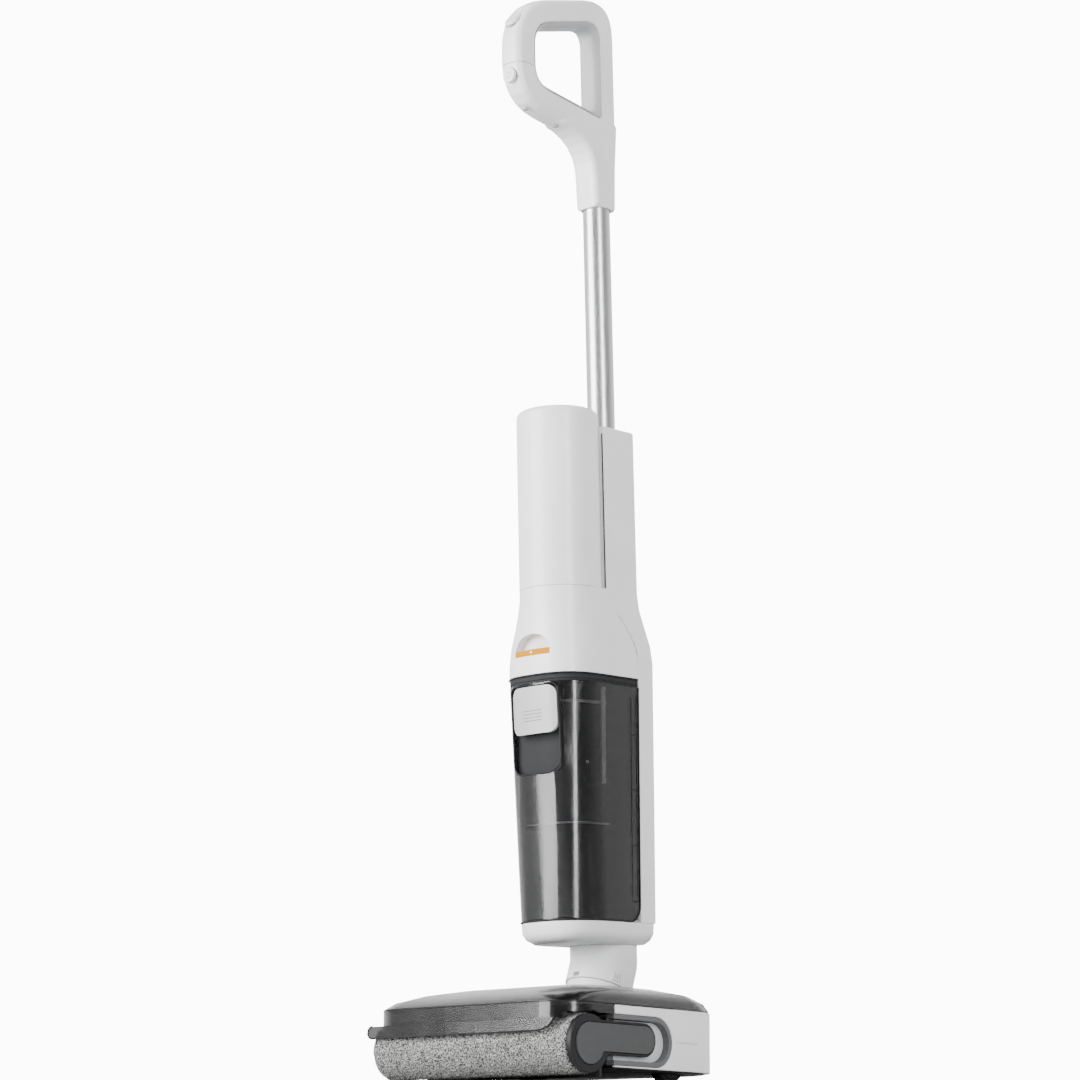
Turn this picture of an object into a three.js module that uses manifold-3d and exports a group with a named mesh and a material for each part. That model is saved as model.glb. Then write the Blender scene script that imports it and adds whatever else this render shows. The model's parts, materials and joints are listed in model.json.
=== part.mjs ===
// Cordless wet and dry floor scrubber. Millimetres, +Z up, front towards -Y.
// The design frame has x = 0 on the plane of symmetry, y = 0 on the roller's axis and z = 0 on the floor.
// The exported group moves it back by CENTRE_Y, so that the origin is under the middle of the whole machine.

import * as THREE from 'three';
import { mergeVertices } from 'three/addons/utils/BufferGeometryUtils.js';
import Module from 'manifold-3d';

const wasm = await Module();
wasm.setup();

// ---------------------------------------------------------------- driving dimensions

const GAP = 0.3; // clearance between neighbouring pieces
const WALL = 2.5; // usual moulded wall
const SEGMENTS = 28; // sides of a large round piece
const FINE = 14; // sides of a small round piece
const CENTRE_Y = 86.762; // from the roller's axis back to the middle of the machine

const HEAD = { half: 130, front: -32, sideEnd: 156, rear: 206, bottom: 9.5, top: 67, wall: 4 };
const ROLLER = { y: 0, z: 29.9, fur: 29.6, core: 21, bore: 17, left: -126.5, right: 122.5 };
const CAP = { ring: 27, disc: 19.4, x0: 123.2, x1: 130, edge: 2.7 };
const LEVER = { z0: 23, z1: 49, end: 91 };
const RECESS = { z: 34.8, radius: 23.5, end: 117, rim: 4.6 };
const COVER = { bottom: HEAD.top + GAP, skirt: 52.5, top: 91, thick: 2.5, rear: 196 };
const LIP = { z0: 41, z1: 52.2, y0: -32, y1: -30, right: 114 };
const DECK = { z0: 61, z1: 63.5 };
const DRIVE = { motorRadius: 14.5, motorEnd: -58, hubEnd: -46, plate: 22 };
const WHEEL = { x: 86, y: 160, radius: 22, width: 14, rim: 17, axle: 3 };

const PIVOT = { y: 142, z: 45, barrel: 28.5, half: 33, pin: 6 };
const LEAN = THREE.MathUtils.degToRad(2.3); // the parked body leans forward by this
const NECK = { radius: 33.5, bore: 26, bendY: 169.5, bendZ: 119, splitLength: 52 };
const NOTCH = { half: 38.5, front: 109 };

const BASE = { z0: 136.5, z1: 157 };
const TANK = { z0: 157.3, z1: 391, lidTop: 399.7, rear: 173.5, wall: 2.2 };
const GRIP = { half: 30.5, z0: 302, z1: 389, depth: 84, latch: 28.8, latchZ: 341, latchRound: 10 };
const STRAINER = { foot: 252, rear: 131, floatX: 22, floatY: 112 };
const MOUTH = { y: 119, lid: 12, drain: 11 }; // the hole in the tank's lid and the one in the strainer's foot
const SHOULDER = { z0: 400, z1: 488.7 };
const PAST_REAR = 190; // behind the tank and the shoulder, where the seam line trims them
const SPINE = { z0: 157.3, z1: 659.5, highHalf: 34, lowRear: 204.5, highRear: 203.4, pocketTop: 590 };
const SEAM = { lowY: 174.6, highY: 148, lowZ: 424, highZ: 486 };
const CLEAN = { y: 117, radius: 41.7, z0: 489, z1: 674, round: 7 };
const VALVE = { z: 520, radius: 5 };
const FILL = { radius: 9, back: 14 }; // the filling hole, this far behind the clean tank's axis
const RISER = { y: 148, radius: 14.5, bore: 12.5, top: 330 };
const POLE = { y: 185.5, radius: 14.2, bore: 12.7, z0: 604, z1: 950 };
const POLE_BUTTON = { z: 625, radius: 7, seat: 199.6, face: 204.8 };
const POWER_Z = 1020; // height of the power button on the front bar
const HANDLE = { bar: 15.4, half: 14.6, collar: 903, frontY: 68.7, rearY: 192.3 };

// ---------------------------------------------------------------- materials

function plastic(color, roughness = 0.45) {
  return new THREE.MeshStandardMaterial({ color, roughness, metalness: 0 });
}

function metal(color, roughness = 0.35) {
  return new THREE.MeshStandardMaterial({ color, roughness, metalness: 1 });
}

const WHITE = plastic('#e9eaec');
const LIGHT_GREY = plastic('#c3c4c6');
const MID_GREY = plastic('#6a6b6d', 0.5);
const BLACK = plastic('#17181a', 0.5);
const SMOKE = new THREE.MeshStandardMaterial({
  color: '#4a4b4e', roughness: 0.12, metalness: 0, transparent: true, opacity: 0.5,
});
const FUR = plastic('#a7a7a6', 1);
const RUBBER = plastic('#222324', 0.8);
const ORANGE = plastic('#e79a2b', 0.4);
const ALUMINIUM = metal('#b9babd', 0.3);
const STEEL = metal('#9a9b9d', 0.3);
const COPPER = metal('#b87333', 0.4);
const GREEN = plastic('#1f5a3a', 0.6);
const BATTERY_BLUE = plastic('#3b6ea5', 0.5);
const FILTER_FOAM = plastic('#d8d4c8', 1);

// ---------------------------------------------------------------- solids from three.js geometry

// Turns a closed three.js geometry into a solid, with shared vertices merged and faces pointing out.
function solid(geometry) {
  const bare = geometry.clone();
  bare.deleteAttribute('normal');
  bare.deleteAttribute('uv');
  const merged = mergeVertices(bare, 1e-4);
  const points = merged.attributes.position.array;
  const kept = [];
  for (let i = 0; i < merged.index.count; i += 3) {
    const [a, b, c] = [0, 1, 2].map((k) => merged.index.getX(i + k));
    if (a !== b && b !== c && c !== a) kept.push([a, b, c]);
  }
  const corner = (i) => new THREE.Vector3().fromArray(points, i * 3);
  let volume = 0;
  for (const [a, b, c] of kept) volume += corner(a).dot(corner(b).cross(corner(c)));
  const faces = volume > 0 ? kept : kept.map(([a, b, c]) => [a, c, b]);
  const mesh = new wasm.Mesh({
    numProp: 3,
    vertProperties: Float32Array.from(points),
    triVerts: Uint32Array.from(faces.flat()),
  });
  return new wasm.Manifold(mesh);
}

function join(...solids) {
  return solids.reduce((a, b) => a.add(b));
}

function cut(body, ...tools) {
  return tools.reduce((a, b) => a.subtract(b), body);
}

function box(x0, x1, y0, y1, z0, z1) {
  const geometry = new THREE.BoxGeometry(x1 - x0, y1 - y0, z1 - z0);
  return solid(geometry.translate((x0 + x1) / 2, (y0 + y1) / 2, (z0 + z1) / 2));
}

// A round rod from a to b along an axis. The centre is given as the other two coordinates, in x, y, z order.
function rod(axis, radius, a, b, centre, sides = SEGMENTS, radiusAtB = radius) {
  const geometry = new THREE.CylinderGeometry(radiusAtB, radius, b - a, sides);
  const middle = (a + b) / 2;
  if (axis === 'x') geometry.rotateZ(-Math.PI / 2).translate(middle, centre[0], centre[1]);
  if (axis === 'y') geometry.translate(centre[0], middle, centre[1]);
  if (axis === 'z') geometry.rotateX(Math.PI / 2).translate(centre[0], centre[1], middle);
  return solid(geometry);
}

function pipe(axis, radius, bore, a, b, centre, sides = SEGMENTS) {
  return cut(rod(axis, radius, a, b, centre, sides), rod(axis, bore, a - 1, b + 1, centre, sides));
}

// Extrudes an outline drawn in (x, y) from z0 to z1.
function plan(outline, z0, z1, curveSegments = 6) {
  const geometry = new THREE.ExtrudeGeometry(outline, { depth: z1 - z0, bevelEnabled: false, curveSegments });
  return solid(geometry.translate(0, 0, z0));
}

const SIDE_BASIS = new THREE.Matrix4().makeBasis(
  new THREE.Vector3(0, 1, 0), new THREE.Vector3(0, 0, 1), new THREE.Vector3(1, 0, 0),
);
const FRONT_BASIS = new THREE.Matrix4().makeBasis(
  new THREE.Vector3(1, 0, 0), new THREE.Vector3(0, 0, 1), new THREE.Vector3(0, -1, 0),
);

// Extrudes an outline drawn in (y, z) from x0 to x1. A bevel rounds its edges inside that width.
// A negative bevel flares both ends instead, for a cutter that leaves a rounded rim.
function side(outline, x0, x1, bevel = 0, curveSegments = 6) {
  const thickness = Math.abs(bevel);
  const geometry = new THREE.ExtrudeGeometry(outline, {
    depth: x1 - x0 - 2 * thickness,
    bevelEnabled: thickness > 0,
    bevelThickness: thickness,
    bevelSize: bevel,
    bevelOffset: -bevel,
    bevelSegments: 3,
    curveSegments,
  });
  return solid(geometry.applyMatrix4(SIDE_BASIS).translate(x0 + thickness, 0, 0));
}

// Extrudes an outline drawn in (x, z) from y0 to y1.
function front(outline, y0, y1, curveSegments = 6) {
  const geometry = new THREE.ExtrudeGeometry(outline, { depth: y1 - y0, bevelEnabled: false, curveSegments });
  return solid(geometry.applyMatrix4(FRONT_BASIS).translate(0, y1, 0));
}

// A rectangle with round corners.
function roundRect(u0, u1, v0, v1, r) {
  const shape = new THREE.Shape();
  shape.moveTo(u0 + r, v0);
  shape.lineTo(u1 - r, v0);
  shape.absarc(u1 - r, v0 + r, r, -Math.PI / 2, 0, false);
  shape.lineTo(u1, v1 - r);
  shape.absarc(u1 - r, v1 - r, r, 0, Math.PI / 2, false);
  shape.lineTo(u0 + r, v1);
  shape.absarc(u0 + r, v1 - r, r, Math.PI / 2, Math.PI, false);
  shape.lineTo(u0, v0 + r);
  shape.absarc(u0 + r, v0 + r, r, Math.PI, 1.5 * Math.PI, false);
  return shape;
}

// A slot with a straight left edge at u0 and a round right end at u1.
function tongue(u0, u1, v, r) {
  const shape = new THREE.Shape();
  shape.moveTo(u0, v - r);
  shape.lineTo(u1 - r, v - r);
  shape.absarc(u1 - r, v, r, -Math.PI / 2, Math.PI / 2, false);
  shape.lineTo(u0, v + r);
  shape.closePath();
  return shape;
}

// A solid whose level cross-sections follow the given outlines. A cylinder's rings are moved onto them.
function loft(levels, sides = 34) {
  const geometry = new THREE.CylinderGeometry(1, 1, 1, sides, levels.length - 1);
  const rings = levels.map(({ outline }) => outline.getSpacedPoints(sides).slice(0, sides));
  const middles = rings.map((ring) => new THREE.Vector2(0, ring.reduce((s, p) => s + p.y, 0) / sides));
  const position = geometry.attributes.position;
  for (let i = 0; i < position.count; i += 1) {
    const level = Math.round((0.5 - position.getY(i)) * (levels.length - 1));
    const turn = Math.atan2(position.getX(i), position.getZ(i)) / (2 * Math.PI);
    const onAxis = Math.hypot(position.getX(i), position.getZ(i)) < 0.5;
    const step = (Math.round(turn * sides) + sides) % sides;
    const point = onAxis ? middles[level] : rings[level][step];
    position.setXYZ(i, point.x, point.y, levels[level].z);
  }
  return solid(geometry);
}

// ---------------------------------------------------------------- the scene graph

const machine = new THREE.Group();
const head = new THREE.Group();
const body = new THREE.Group();
machine.add(head, body);
machine.position.y = -CENTRE_Y;
body.position.set(0, PIVOT.y, PIVOT.z);
body.rotation.x = LEAN;

// Adds one solid as a named mesh. Pieces of the leaning body are drawn upright and moved to its pivot.
function add(group, name, piece, material) {
  const { vertProperties, triVerts } = piece.getMesh();
  const geometry = new THREE.BufferGeometry();
  geometry.setAttribute('position', new THREE.BufferAttribute(Float32Array.from(vertProperties), 3));
  geometry.setIndex(Array.from(triVerts));
  if (group === body) geometry.translate(0, -PIVOT.y, -PIVOT.z);
  geometry.computeVertexNormals();
  const mesh = new THREE.Mesh(geometry, material);
  mesh.name = name;
  group.add(mesh);
}

// ---------------------------------------------------------------- floor head: outlines

// The head seen from above, drawn a little smaller by inset.
function headOutline(inset) {
  const half = HEAD.half - inset;
  const rear = HEAD.rear - inset;
  const nose = HEAD.front + inset;
  const corner = 10;
  const shape = new THREE.Shape();
  shape.moveTo(-half + corner, nose);
  shape.lineTo(half - corner, nose);
  shape.absarc(half - corner, nose + corner, corner, -Math.PI / 2, 0, false);
  shape.lineTo(half, HEAD.sideEnd);
  shape.bezierCurveTo(half, rear - 22, half - 18, rear - 6, half * 0.62, rear - 2);
  shape.quadraticCurveTo(half * 0.3, rear, 0, rear);
  shape.quadraticCurveTo(-half * 0.3, rear, -half * 0.62, rear - 2);
  shape.bezierCurveTo(-half + 18, rear - 6, -half, rear - 22, -half, HEAD.sideEnd);
  shape.lineTo(-half, nose + corner);
  shape.absarc(-half + corner, nose + corner, corner, Math.PI, 1.5 * Math.PI, false);
  return shape;
}

// One section of the cover's dome, narrower and further back the higher it is.
function domeOutline(half, nose, rear) {
  return roundRect(-half, half, nose, rear, Math.min(36, half * 0.42));
}

const notchBox = box(-NOTCH.half, NOTCH.half, NOTCH.front, HEAD.rear + 20, 0, COVER.top + 20);
const behindRoller = box(-HEAD.half - 5, HEAD.half + 5, 34, HEAD.rear + 5, 0, HEAD.top);

// ---------------------------------------------------------------- floor head: housing

function recessOutline(shrink) {
  return tongue(33, RECESS.end - shrink, RECESS.z, RECESS.radius - shrink);
}

function sidePanels() {
  const ring = cut(
    plan(headOutline(0), HEAD.bottom, HEAD.top),
    plan(headOutline(HEAD.wall), HEAD.bottom - 1, HEAD.top + 1),
  );
  const skirt = cut(ring.intersect(behindRoller), notchBox);
  const right = skirt.intersect(box(0, 200, 0, 300, 0, 100));
  const left = skirt.intersect(box(-200, 0, 0, 300, 0, 100));
  const opening = side(recessOutline(-GAP), HEAD.half - 10, HEAD.half + 1);
  add(head, 'side_panel_right', cut(right, opening), WHITE);
  add(head, 'side_panel_left', left, WHITE);
}

function recess() {
  const inside = HEAD.half - HEAD.wall;
  const liner = cut(
    side(recessOutline(0), inside - 6.6, HEAD.half - 0.4),
    side(recessOutline(RECESS.rim), inside - 4.4, HEAD.half),
  );
  add(head, 'recess_liner', liner, MID_GREY);
}

function basePlate() {
  const inner = headOutline(HEAD.wall + GAP);
  const rear = box(-HEAD.half, HEAD.half, 36, HEAD.rear, 0, HEAD.top);
  const plate = plan(inner, HEAD.bottom - 1, HEAD.bottom + 1.5).intersect(rear);
  const wells = [-1, 1].map((s) => {
    const x = s * WHEEL.x;
    return box(x - 9, x + 9, WHEEL.y - 25, WHEEL.y + 25, 0, 30);
  });
  const mouth = box(-70, 70, 38, 52, 0, 30);
  add(head, 'base_plate', cut(plate, mouth, ...wells), BLACK);
}

function deck() {
  const plate = plan(headOutline(HEAD.wall + GAP), DECK.z0, DECK.z1).intersect(behindRoller);
  add(head, 'deck_plate', cut(plate, notchBox), MID_GREY);
}

function suctionDuct() {
  const outline = (grow, y0, y1) => {
    const shape = new THREE.Shape();
    shape.moveTo(-68 + grow, y0);
    shape.lineTo(68 - grow, y0);
    shape.lineTo(68 - grow, 54);
    shape.lineTo(26 - grow, 92);
    shape.lineTo(26 - grow, y1);
    shape.lineTo(-26 + grow, y1);
    shape.lineTo(-26 + grow, 92);
    shape.lineTo(-68 + grow, 54);
    shape.closePath();
    return shape;
  };
  const mouth = box(-118, 118, 36.5, 43, 12, 58);
  const shell = cut(join(plan(outline(0, 42, 108), 26, 58), mouth), plan(outline(2, 36, 109), 28, 56));
  add(head, 'suction_duct', shell, BLACK);
}

function mouthParts() {
  add(head, 'roller_scraper', box(-118, 118, 27.6, 36.2, 44, 47.5), LIGHT_GREY);
  add(head, 'rear_squeegee', box(-112, 112, 32.6, 35.6, 1.2, 20), RUBBER);
  const bar = box(-108, 108, 8, 26, 60.6, 66.4);
  add(head, 'water_spreader', cut(bar, box(-104, 104, 11, 23, 62.6, 70)), BLACK);
}

// The motor stands inside the hollow roller on a thin plate at its left end, and turns it by a splined hub.
function rollerDrive() {
  const { motorRadius, motorEnd, hubEnd, plate } = DRIVE;
  const { y, z, bore, left } = ROLLER;
  const centre = [y, z];
  const arm = side(tongue(-33.6, 0, -z, plate - 4), -HEAD.half, left - GAP).rotate([180, 0, 0]);
  const bracket = join(rod('x', plate, -HEAD.half, left - GAP, centre), arm);
  add(head, 'roller_bracket', bracket, WHITE);
  const motor = join(
    rod('x', motorRadius, left + 6, motorEnd, centre),
    rod('x', 6, left - GAP + 0.3, motorEnd, centre, FINE),
    rod('x', 3, left, motorEnd + 8, centre, FINE),
  );
  add(head, 'roller_motor', motor, STEEL);
  const hub = cut(
    rod('x', bore - GAP, motorEnd + 1, hubEnd, centre),
    rod('x', 3 + GAP, motorEnd - 1, motorEnd + 9, centre, FINE),
  );
  add(head, 'drive_hub', hub, MID_GREY);
}

function wheels() {
  const { x, y, radius, width, rim, axle } = WHEEL;
  const y0 = y - 36;
  for (const [name, s] of [['left', -1], ['right', 1]]) {
    const span = (inner, outer) => [Math.min(s * inner, s * outer), Math.max(s * inner, s * outer)];
    const [a, b] = span(x - width / 2, x + width / 2);
    const centre = [y, radius];
    const [c, d] = span(x - width / 2 - 4, x + width / 2 + 4);
    const hub = join(rod('x', rim, a, b, centre, FINE), rod('x', axle, c, d, centre, FINE));
    add(head, `wheel_hub_${name}`, hub, MID_GREY);
    add(head, `wheel_tyre_${name}`, pipe('x', radius, rim + GAP, a + 1, b - 1, centre), RUBBER);
  }
  const shaftRoom = rod('x', 9, 40, 66, [y0 + 24, 36], FINE);
  const gearbox = cut(box(44, 74, y0, y0 + 48, 13, 58), shaftRoom);
  add(head, 'wheel_gearbox', gearbox, MID_GREY);
}

function pivotBracket() {
  const { y, z, half, barrel, pin } = PIVOT;
  const outer = half + 5.2;
  const inner = half + GAP;
  const [y0, y1, z0, z1] = [y - 28, y + 30, 12, 60];
  const cheeks = join(
    box(-outer, -inner, y0, y1, z0, z1),
    box(inner, outer, y0, y1, z0, z1),
    box(-outer, outer, y0, y1, z0, z0 + 2.6),
  );
  const holes = rod('x', pin + GAP, -outer - 1, outer + 1, [y, z], FINE);
  const swing = rod('x', barrel + 1.4, -inner, inner, [y, z]);
  add(head, 'neck_bracket', cut(cheeks, holes, swing), BLACK);
  add(head, 'pivot_pin', rod('x', pin, -outer, outer, [y, z], FINE), STEEL);
}

// ---------------------------------------------------------------- floor head: cover and roller

// The solid dome, or the same dome drawn smaller all round by drop.
function coverDome(drop) {
  const steps = [
    { z: COVER.bottom - 8, half: HEAD.half, nose: HEAD.front, rear: COVER.rear },
    { z: COVER.bottom + 1, half: HEAD.half, nose: HEAD.front, rear: COVER.rear },
    { z: COVER.bottom + 8, half: 126, nose: -20, rear: 192 },
    { z: COVER.bottom + 16, half: 114, nose: 8, rear: 181 },
    { z: COVER.bottom + 21, half: 92, nose: 36, rear: 160 },
    { z: COVER.top, half: 62, nose: 62, rear: 138 },
  ];
  const levels = steps.map(({ z, half, nose, rear }) => ({
    z: z - drop,
    outline: domeOutline(half - drop, nose + drop, rear - drop),
  }));
  return loft(levels.reverse(), 44);
}

function headCover() {
  const { half } = HEAD;
  const { bottom, skirt, thick, rear } = COVER;
  const above = box(-200, 200, -100, 300, bottom, 200);
  const roof = cut(coverDome(0), coverDome(thick)).intersect(above);
  const apron = cut(
    plan(domeOutline(half, HEAD.front, rear), skirt, bottom + 1),
    plan(domeOutline(half - thick, HEAD.front + thick, rear - 6), skirt - 1, bottom + 3),
    box(-200, 200, 33, 300, 0, 200),
    box(CAP.x0 - 6, 200, -100, 100, 0, 58),
  );
  const room = rod('x', ROLLER.fur + 0.6, ROLLER.left - 0.6, half + 1, [ROLLER.y, ROLLER.z]);
  add(head, 'head_cover', cut(join(roof, apron), notchBox, room), SMOKE);
  const { y0, y1, z0, z1, right } = LIP;
  const end = (z1 - z0) / 2;
  const lip = join(
    box(-half + end, right - 5, y0, y1, z0, z1),
    rod('y', end, y0, y1, [-half + end, z0 + end], FINE),
    rod('y', end, y0, y1, [right - 5, z0 + end], FINE),
  );
  add(head, 'cover_lip', lip, SMOKE);
}

function roller() {
  const centre = [ROLLER.y, ROLLER.z];
  const { left, right } = ROLLER;
  add(head, 'roller_fur', pipe('x', ROLLER.fur, ROLLER.core + GAP, left, right, centre), FUR);
  const core = pipe('x', ROLLER.core, ROLLER.bore, left, right, centre);
  const web = cut(rod('x', ROLLER.bore + 1, 60, 64, centre), rod('x', 4, 50, 70, centre, FINE));
  add(head, 'roller_core', join(core, web), LIGHT_GREY);
}

function rollerCartridge() {
  const centre = [ROLLER.y, ROLLER.z];
  const { x0, x1, ring, disc, edge } = CAP;
  const middle = (LEVER.z0 + LEVER.z1) / 2;
  const half = (LEVER.z1 - LEVER.z0) / 2;
  const bar = (grow) => tongue(0, LEVER.end + grow, middle, half + grow);
  const leverShape = (grow, a, b) => join(
    rod('x', disc + grow, a, b, centre),
    side(bar(grow), a, b),
  );
  const cap = join(rod('x', ring, x0, x1 - 1, centre), side(bar(edge), x0, x1 - 1));
  const seat = leverShape(GAP, x0 + 3.4, x1 + 1);
  const boss = rod('x', ROLLER.bore - 6, 70, x0 + 1, centre, FINE);
  add(head, 'roller_end_cap', join(cut(cap, seat), boss), BLACK);
  add(head, 'roller_lever', leverShape(0, x0 + 3.7, x1), MID_GREY);
  const bearing = pipe('x', ROLLER.bore - GAP, ROLLER.bore - 6 + GAP, 90, 98, centre, FINE);
  add(head, 'roller_bearing', bearing, STEEL);
}

// ---------------------------------------------------------------- neck

// Turns the upright neck tube drawn at the pivot so that it points from the pivot to the bend.
const neckTilt = Math.atan2(NECK.bendY - PIVOT.y, NECK.bendZ - PIVOT.z);

function slanted(radius, from, to) {
  const geometry = new THREE.CylinderGeometry(radius, radius, to - from, SEGMENTS);
  geometry.rotateX(Math.PI / 2).translate(0, 0, (from + to) / 2);
  geometry.rotateX(-neckTilt).translate(0, PIVOT.y, PIVOT.z);
  return solid(geometry);
}

function neck() {
  const { y, z, barrel, half, pin } = PIVOT;
  const bend = Math.hypot(NECK.bendY - y, NECK.bendZ - z);
  const shell = join(rod('x', barrel, -half, half, [y, z]), slanted(NECK.radius - 2, 12, NECK.splitLength));
  const hollow = join(
    rod('x', barrel - 3.5, -half + 4, half - 4, [y, z]),
    slanted(NECK.bore, 5, NECK.splitLength + 1),
    rod('x', pin + GAP, -half - 1, half + 1, [y, z], FINE),
    box(-24, 24, y - barrel - 5, y - 10, z - 14, z + 12),
  );
  add(body, 'neck_yoke', cut(shell, hollow), LIGHT_GREY);

  const top = BASE.z0 - GAP;
  const lower = slanted(NECK.radius, NECK.splitLength + GAP, bend);
  const upper = rod('z', NECK.radius, NECK.bendZ, top, [0, NECK.bendY]);
  const knuckle = new THREE.SphereGeometry(NECK.radius, SEGMENTS, 12);
  const innerKnuckle = new THREE.SphereGeometry(NECK.bore, SEGMENTS, 12);
  const ball = solid(knuckle.translate(0, NECK.bendY, NECK.bendZ));
  const innerBall = solid(innerKnuckle.translate(0, NECK.bendY, NECK.bendZ));
  const room = box(-60, 60, 80, 240, 60, top).intersect(slanted(70, NECK.splitLength + GAP, 200));
  const bore = join(
    slanted(NECK.bore, NECK.splitLength - 2, bend),
    rod('z', NECK.bore, NECK.bendZ, top + 2, [0, NECK.bendY]),
    innerBall,
  );
  add(body, 'neck_elbow', cut(join(lower, upper, ball).intersect(room), bore), LIGHT_GREY);
}

// ---------------------------------------------------------------- body: outlines

// A section of the lower body: a full, rounded front, straight sides and nearly square at the back.
function bodyOutline({ half, nose, depth, power }, inset, rear) {
  const shape = new THREE.Shape();
  const corner = Math.max(14 - inset, 3);
  const width = half - inset;
  const reach = depth - inset;
  const back = rear - inset;
  shape.moveTo(width, nose + depth);
  shape.lineTo(width, back - corner);
  shape.absarc(width - corner, back - corner, corner, 0, Math.PI / 2, false);
  shape.lineTo(-width + corner, back);
  shape.absarc(-width + corner, back - corner, corner, Math.PI / 2, Math.PI, false);
  shape.lineTo(-width, nose + depth);
  const steps = 20;
  for (let i = 1; i < steps; i += 1) {
    const turn = (i / steps) * Math.PI;
    const across = -Math.sign(Math.cos(turn)) * Math.abs(Math.cos(turn)) ** (2 / power);
    shape.lineTo(width * across, nose + depth - reach * Math.sin(turn) ** (2 / power));
  }
  shape.closePath();
  return shape;
}

// The front's shape at a height: broad beside the dirty tank, narrower at the foot, round at the clean tank.
function frontAt(z) {
  const { lerp, clamp, smoothstep } = THREE.MathUtils;
  const t = clamp((z - BASE.z1) / (SHOULDER.z0 - BASE.z1), 0, 1);
  const s = smoothstep(z, 408, 484);
  return {
    half: lerp(46 + 5 * t, CLEAN.radius, s),
    nose: lerp(77 - 7.5 * t, CLEAN.y - CLEAN.radius, s),
    depth: lerp(60, CLEAN.radius, s),
    power: lerp(3, 2, s),
  };
}

function sectionAt(z, inset, rear) {
  return bodyOutline(frontAt(z), inset, rear);
}

function column(heights, inset, rear) {
  return loft(heights.map((z) => ({ z, outline: sectionAt(z, inset, rear) })).reverse());
}

// How far the spine spreads at a height: wide beside the dirty tank, slim above it.
function spineSection(z, inset) {
  const { lerp, smoothstep } = THREE.MathUtils;
  const t = smoothstep(z, 418, 492);
  const half = lerp(frontAt(Math.min(z, SHOULDER.z0)).half, SPINE.highHalf, t) - inset;
  const rear = lerp(SPINE.lowRear, SPINE.highRear, t) - inset;
  return roundRect(-half, half, 120, rear, 12 - inset);
}

// The line where the spine's sides meet the front casings, seen from the side.
function spineFront(shift) {
  const { lowY, highY, lowZ, highZ } = SEAM;
  const middle = (lowZ + highZ) / 2;
  const shape = new THREE.Shape();
  shape.moveTo(lowY + shift, 100);
  shape.lineTo(lowY + shift, lowZ);
  shape.bezierCurveTo(lowY + shift, middle, highY + shift, middle, highY + shift, highZ);
  shape.lineTo(highY + shift, 800);
  shape.lineTo(260, 800);
  shape.lineTo(260, 100);
  shape.closePath();
  return side(shape, -80, 80);
}

// ---------------------------------------------------------------- body: casings

function baseCup() {
  const { z0, z1 } = BASE;
  const step = (z, inset) => ({ z, outline: sectionAt(z, inset, SPINE.lowRear) });
  const outer = loft([step(z1, 0), step(z1 - 10, 0.5), step(z1 - 16, 4), step(z0, 11)]);
  const bore = rod('z', NECK.bore, z0 - 1, z0 + 12, [0, NECK.bendY]);
  const inlet = rod('z', RISER.bore, z0 + 9, z1 + 1, [0, RISER.y], FINE);
  add(body, 'base_cup', cut(outer, bore, inlet), WHITE);
}

function spine() {
  const heights = [SPINE.z0, 300, 400, 418, 436, 455, 474, 492, SPINE.z1];
  const levels = heights.map((z) => ({ z, outline: spineSection(z, 0) })).reverse();
  const inner = heights.map((z) => ({ z, outline: spineSection(z, WALL) }));
  inner[0].z += WALL;
  inner[inner.length - 1].z = SPINE.pocketTop;
  const cradle = join(
    rod('z', CLEAN.radius + 0.8 + WALL, CLEAN.z0 - 6, SPINE.z1, [0, CLEAN.y]),
    box(-HEAD.half, HEAD.half, 100, SEAM.highY + WALL, CLEAN.z0 - 6, SPINE.z1),
  );
  const shell = cut(
    loft(levels).intersect(spineFront(0)),
    cut(loft(inner.reverse()), cradle),
    rod('z', CLEAN.radius + 0.8, CLEAN.z0 - 4, SPINE.z1 + 1, [0, CLEAN.y]),
    rod('y', VALVE.radius + 1, CLEAN.y, 175, [0, VALVE.z], FINE),
    rod('z', POLE.radius + GAP, POLE.z0 - 4, SPINE.z1 + 1, [0, POLE.y]),
    rod('y', POLE_BUTTON.radius + 0.4, POLE_BUTTON.seat, SPINE.lowRear + 5, [0, POLE_BUTTON.z], FINE),
  );
  add(body, 'rear_spine', shell, WHITE);
  const { radius, face, z } = POLE_BUTTON;
  const button = rod('y', radius, face - 2.9, face, [0, z], FINE);
  add(body, 'pole_button', button, LIGHT_GREY);
}

// The dark plate behind the dirty tank that closes the spine's pocket.
function spineLiner() {
  const half = 46 - WALL - 0.6;
  const plate = box(-half, half, TANK.rear + 0.6, TANK.rear + 3.2, TANK.z0 + 3, SHOULDER.z0 - 2);
  add(body, 'spine_liner', plate, BLACK);
}

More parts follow.
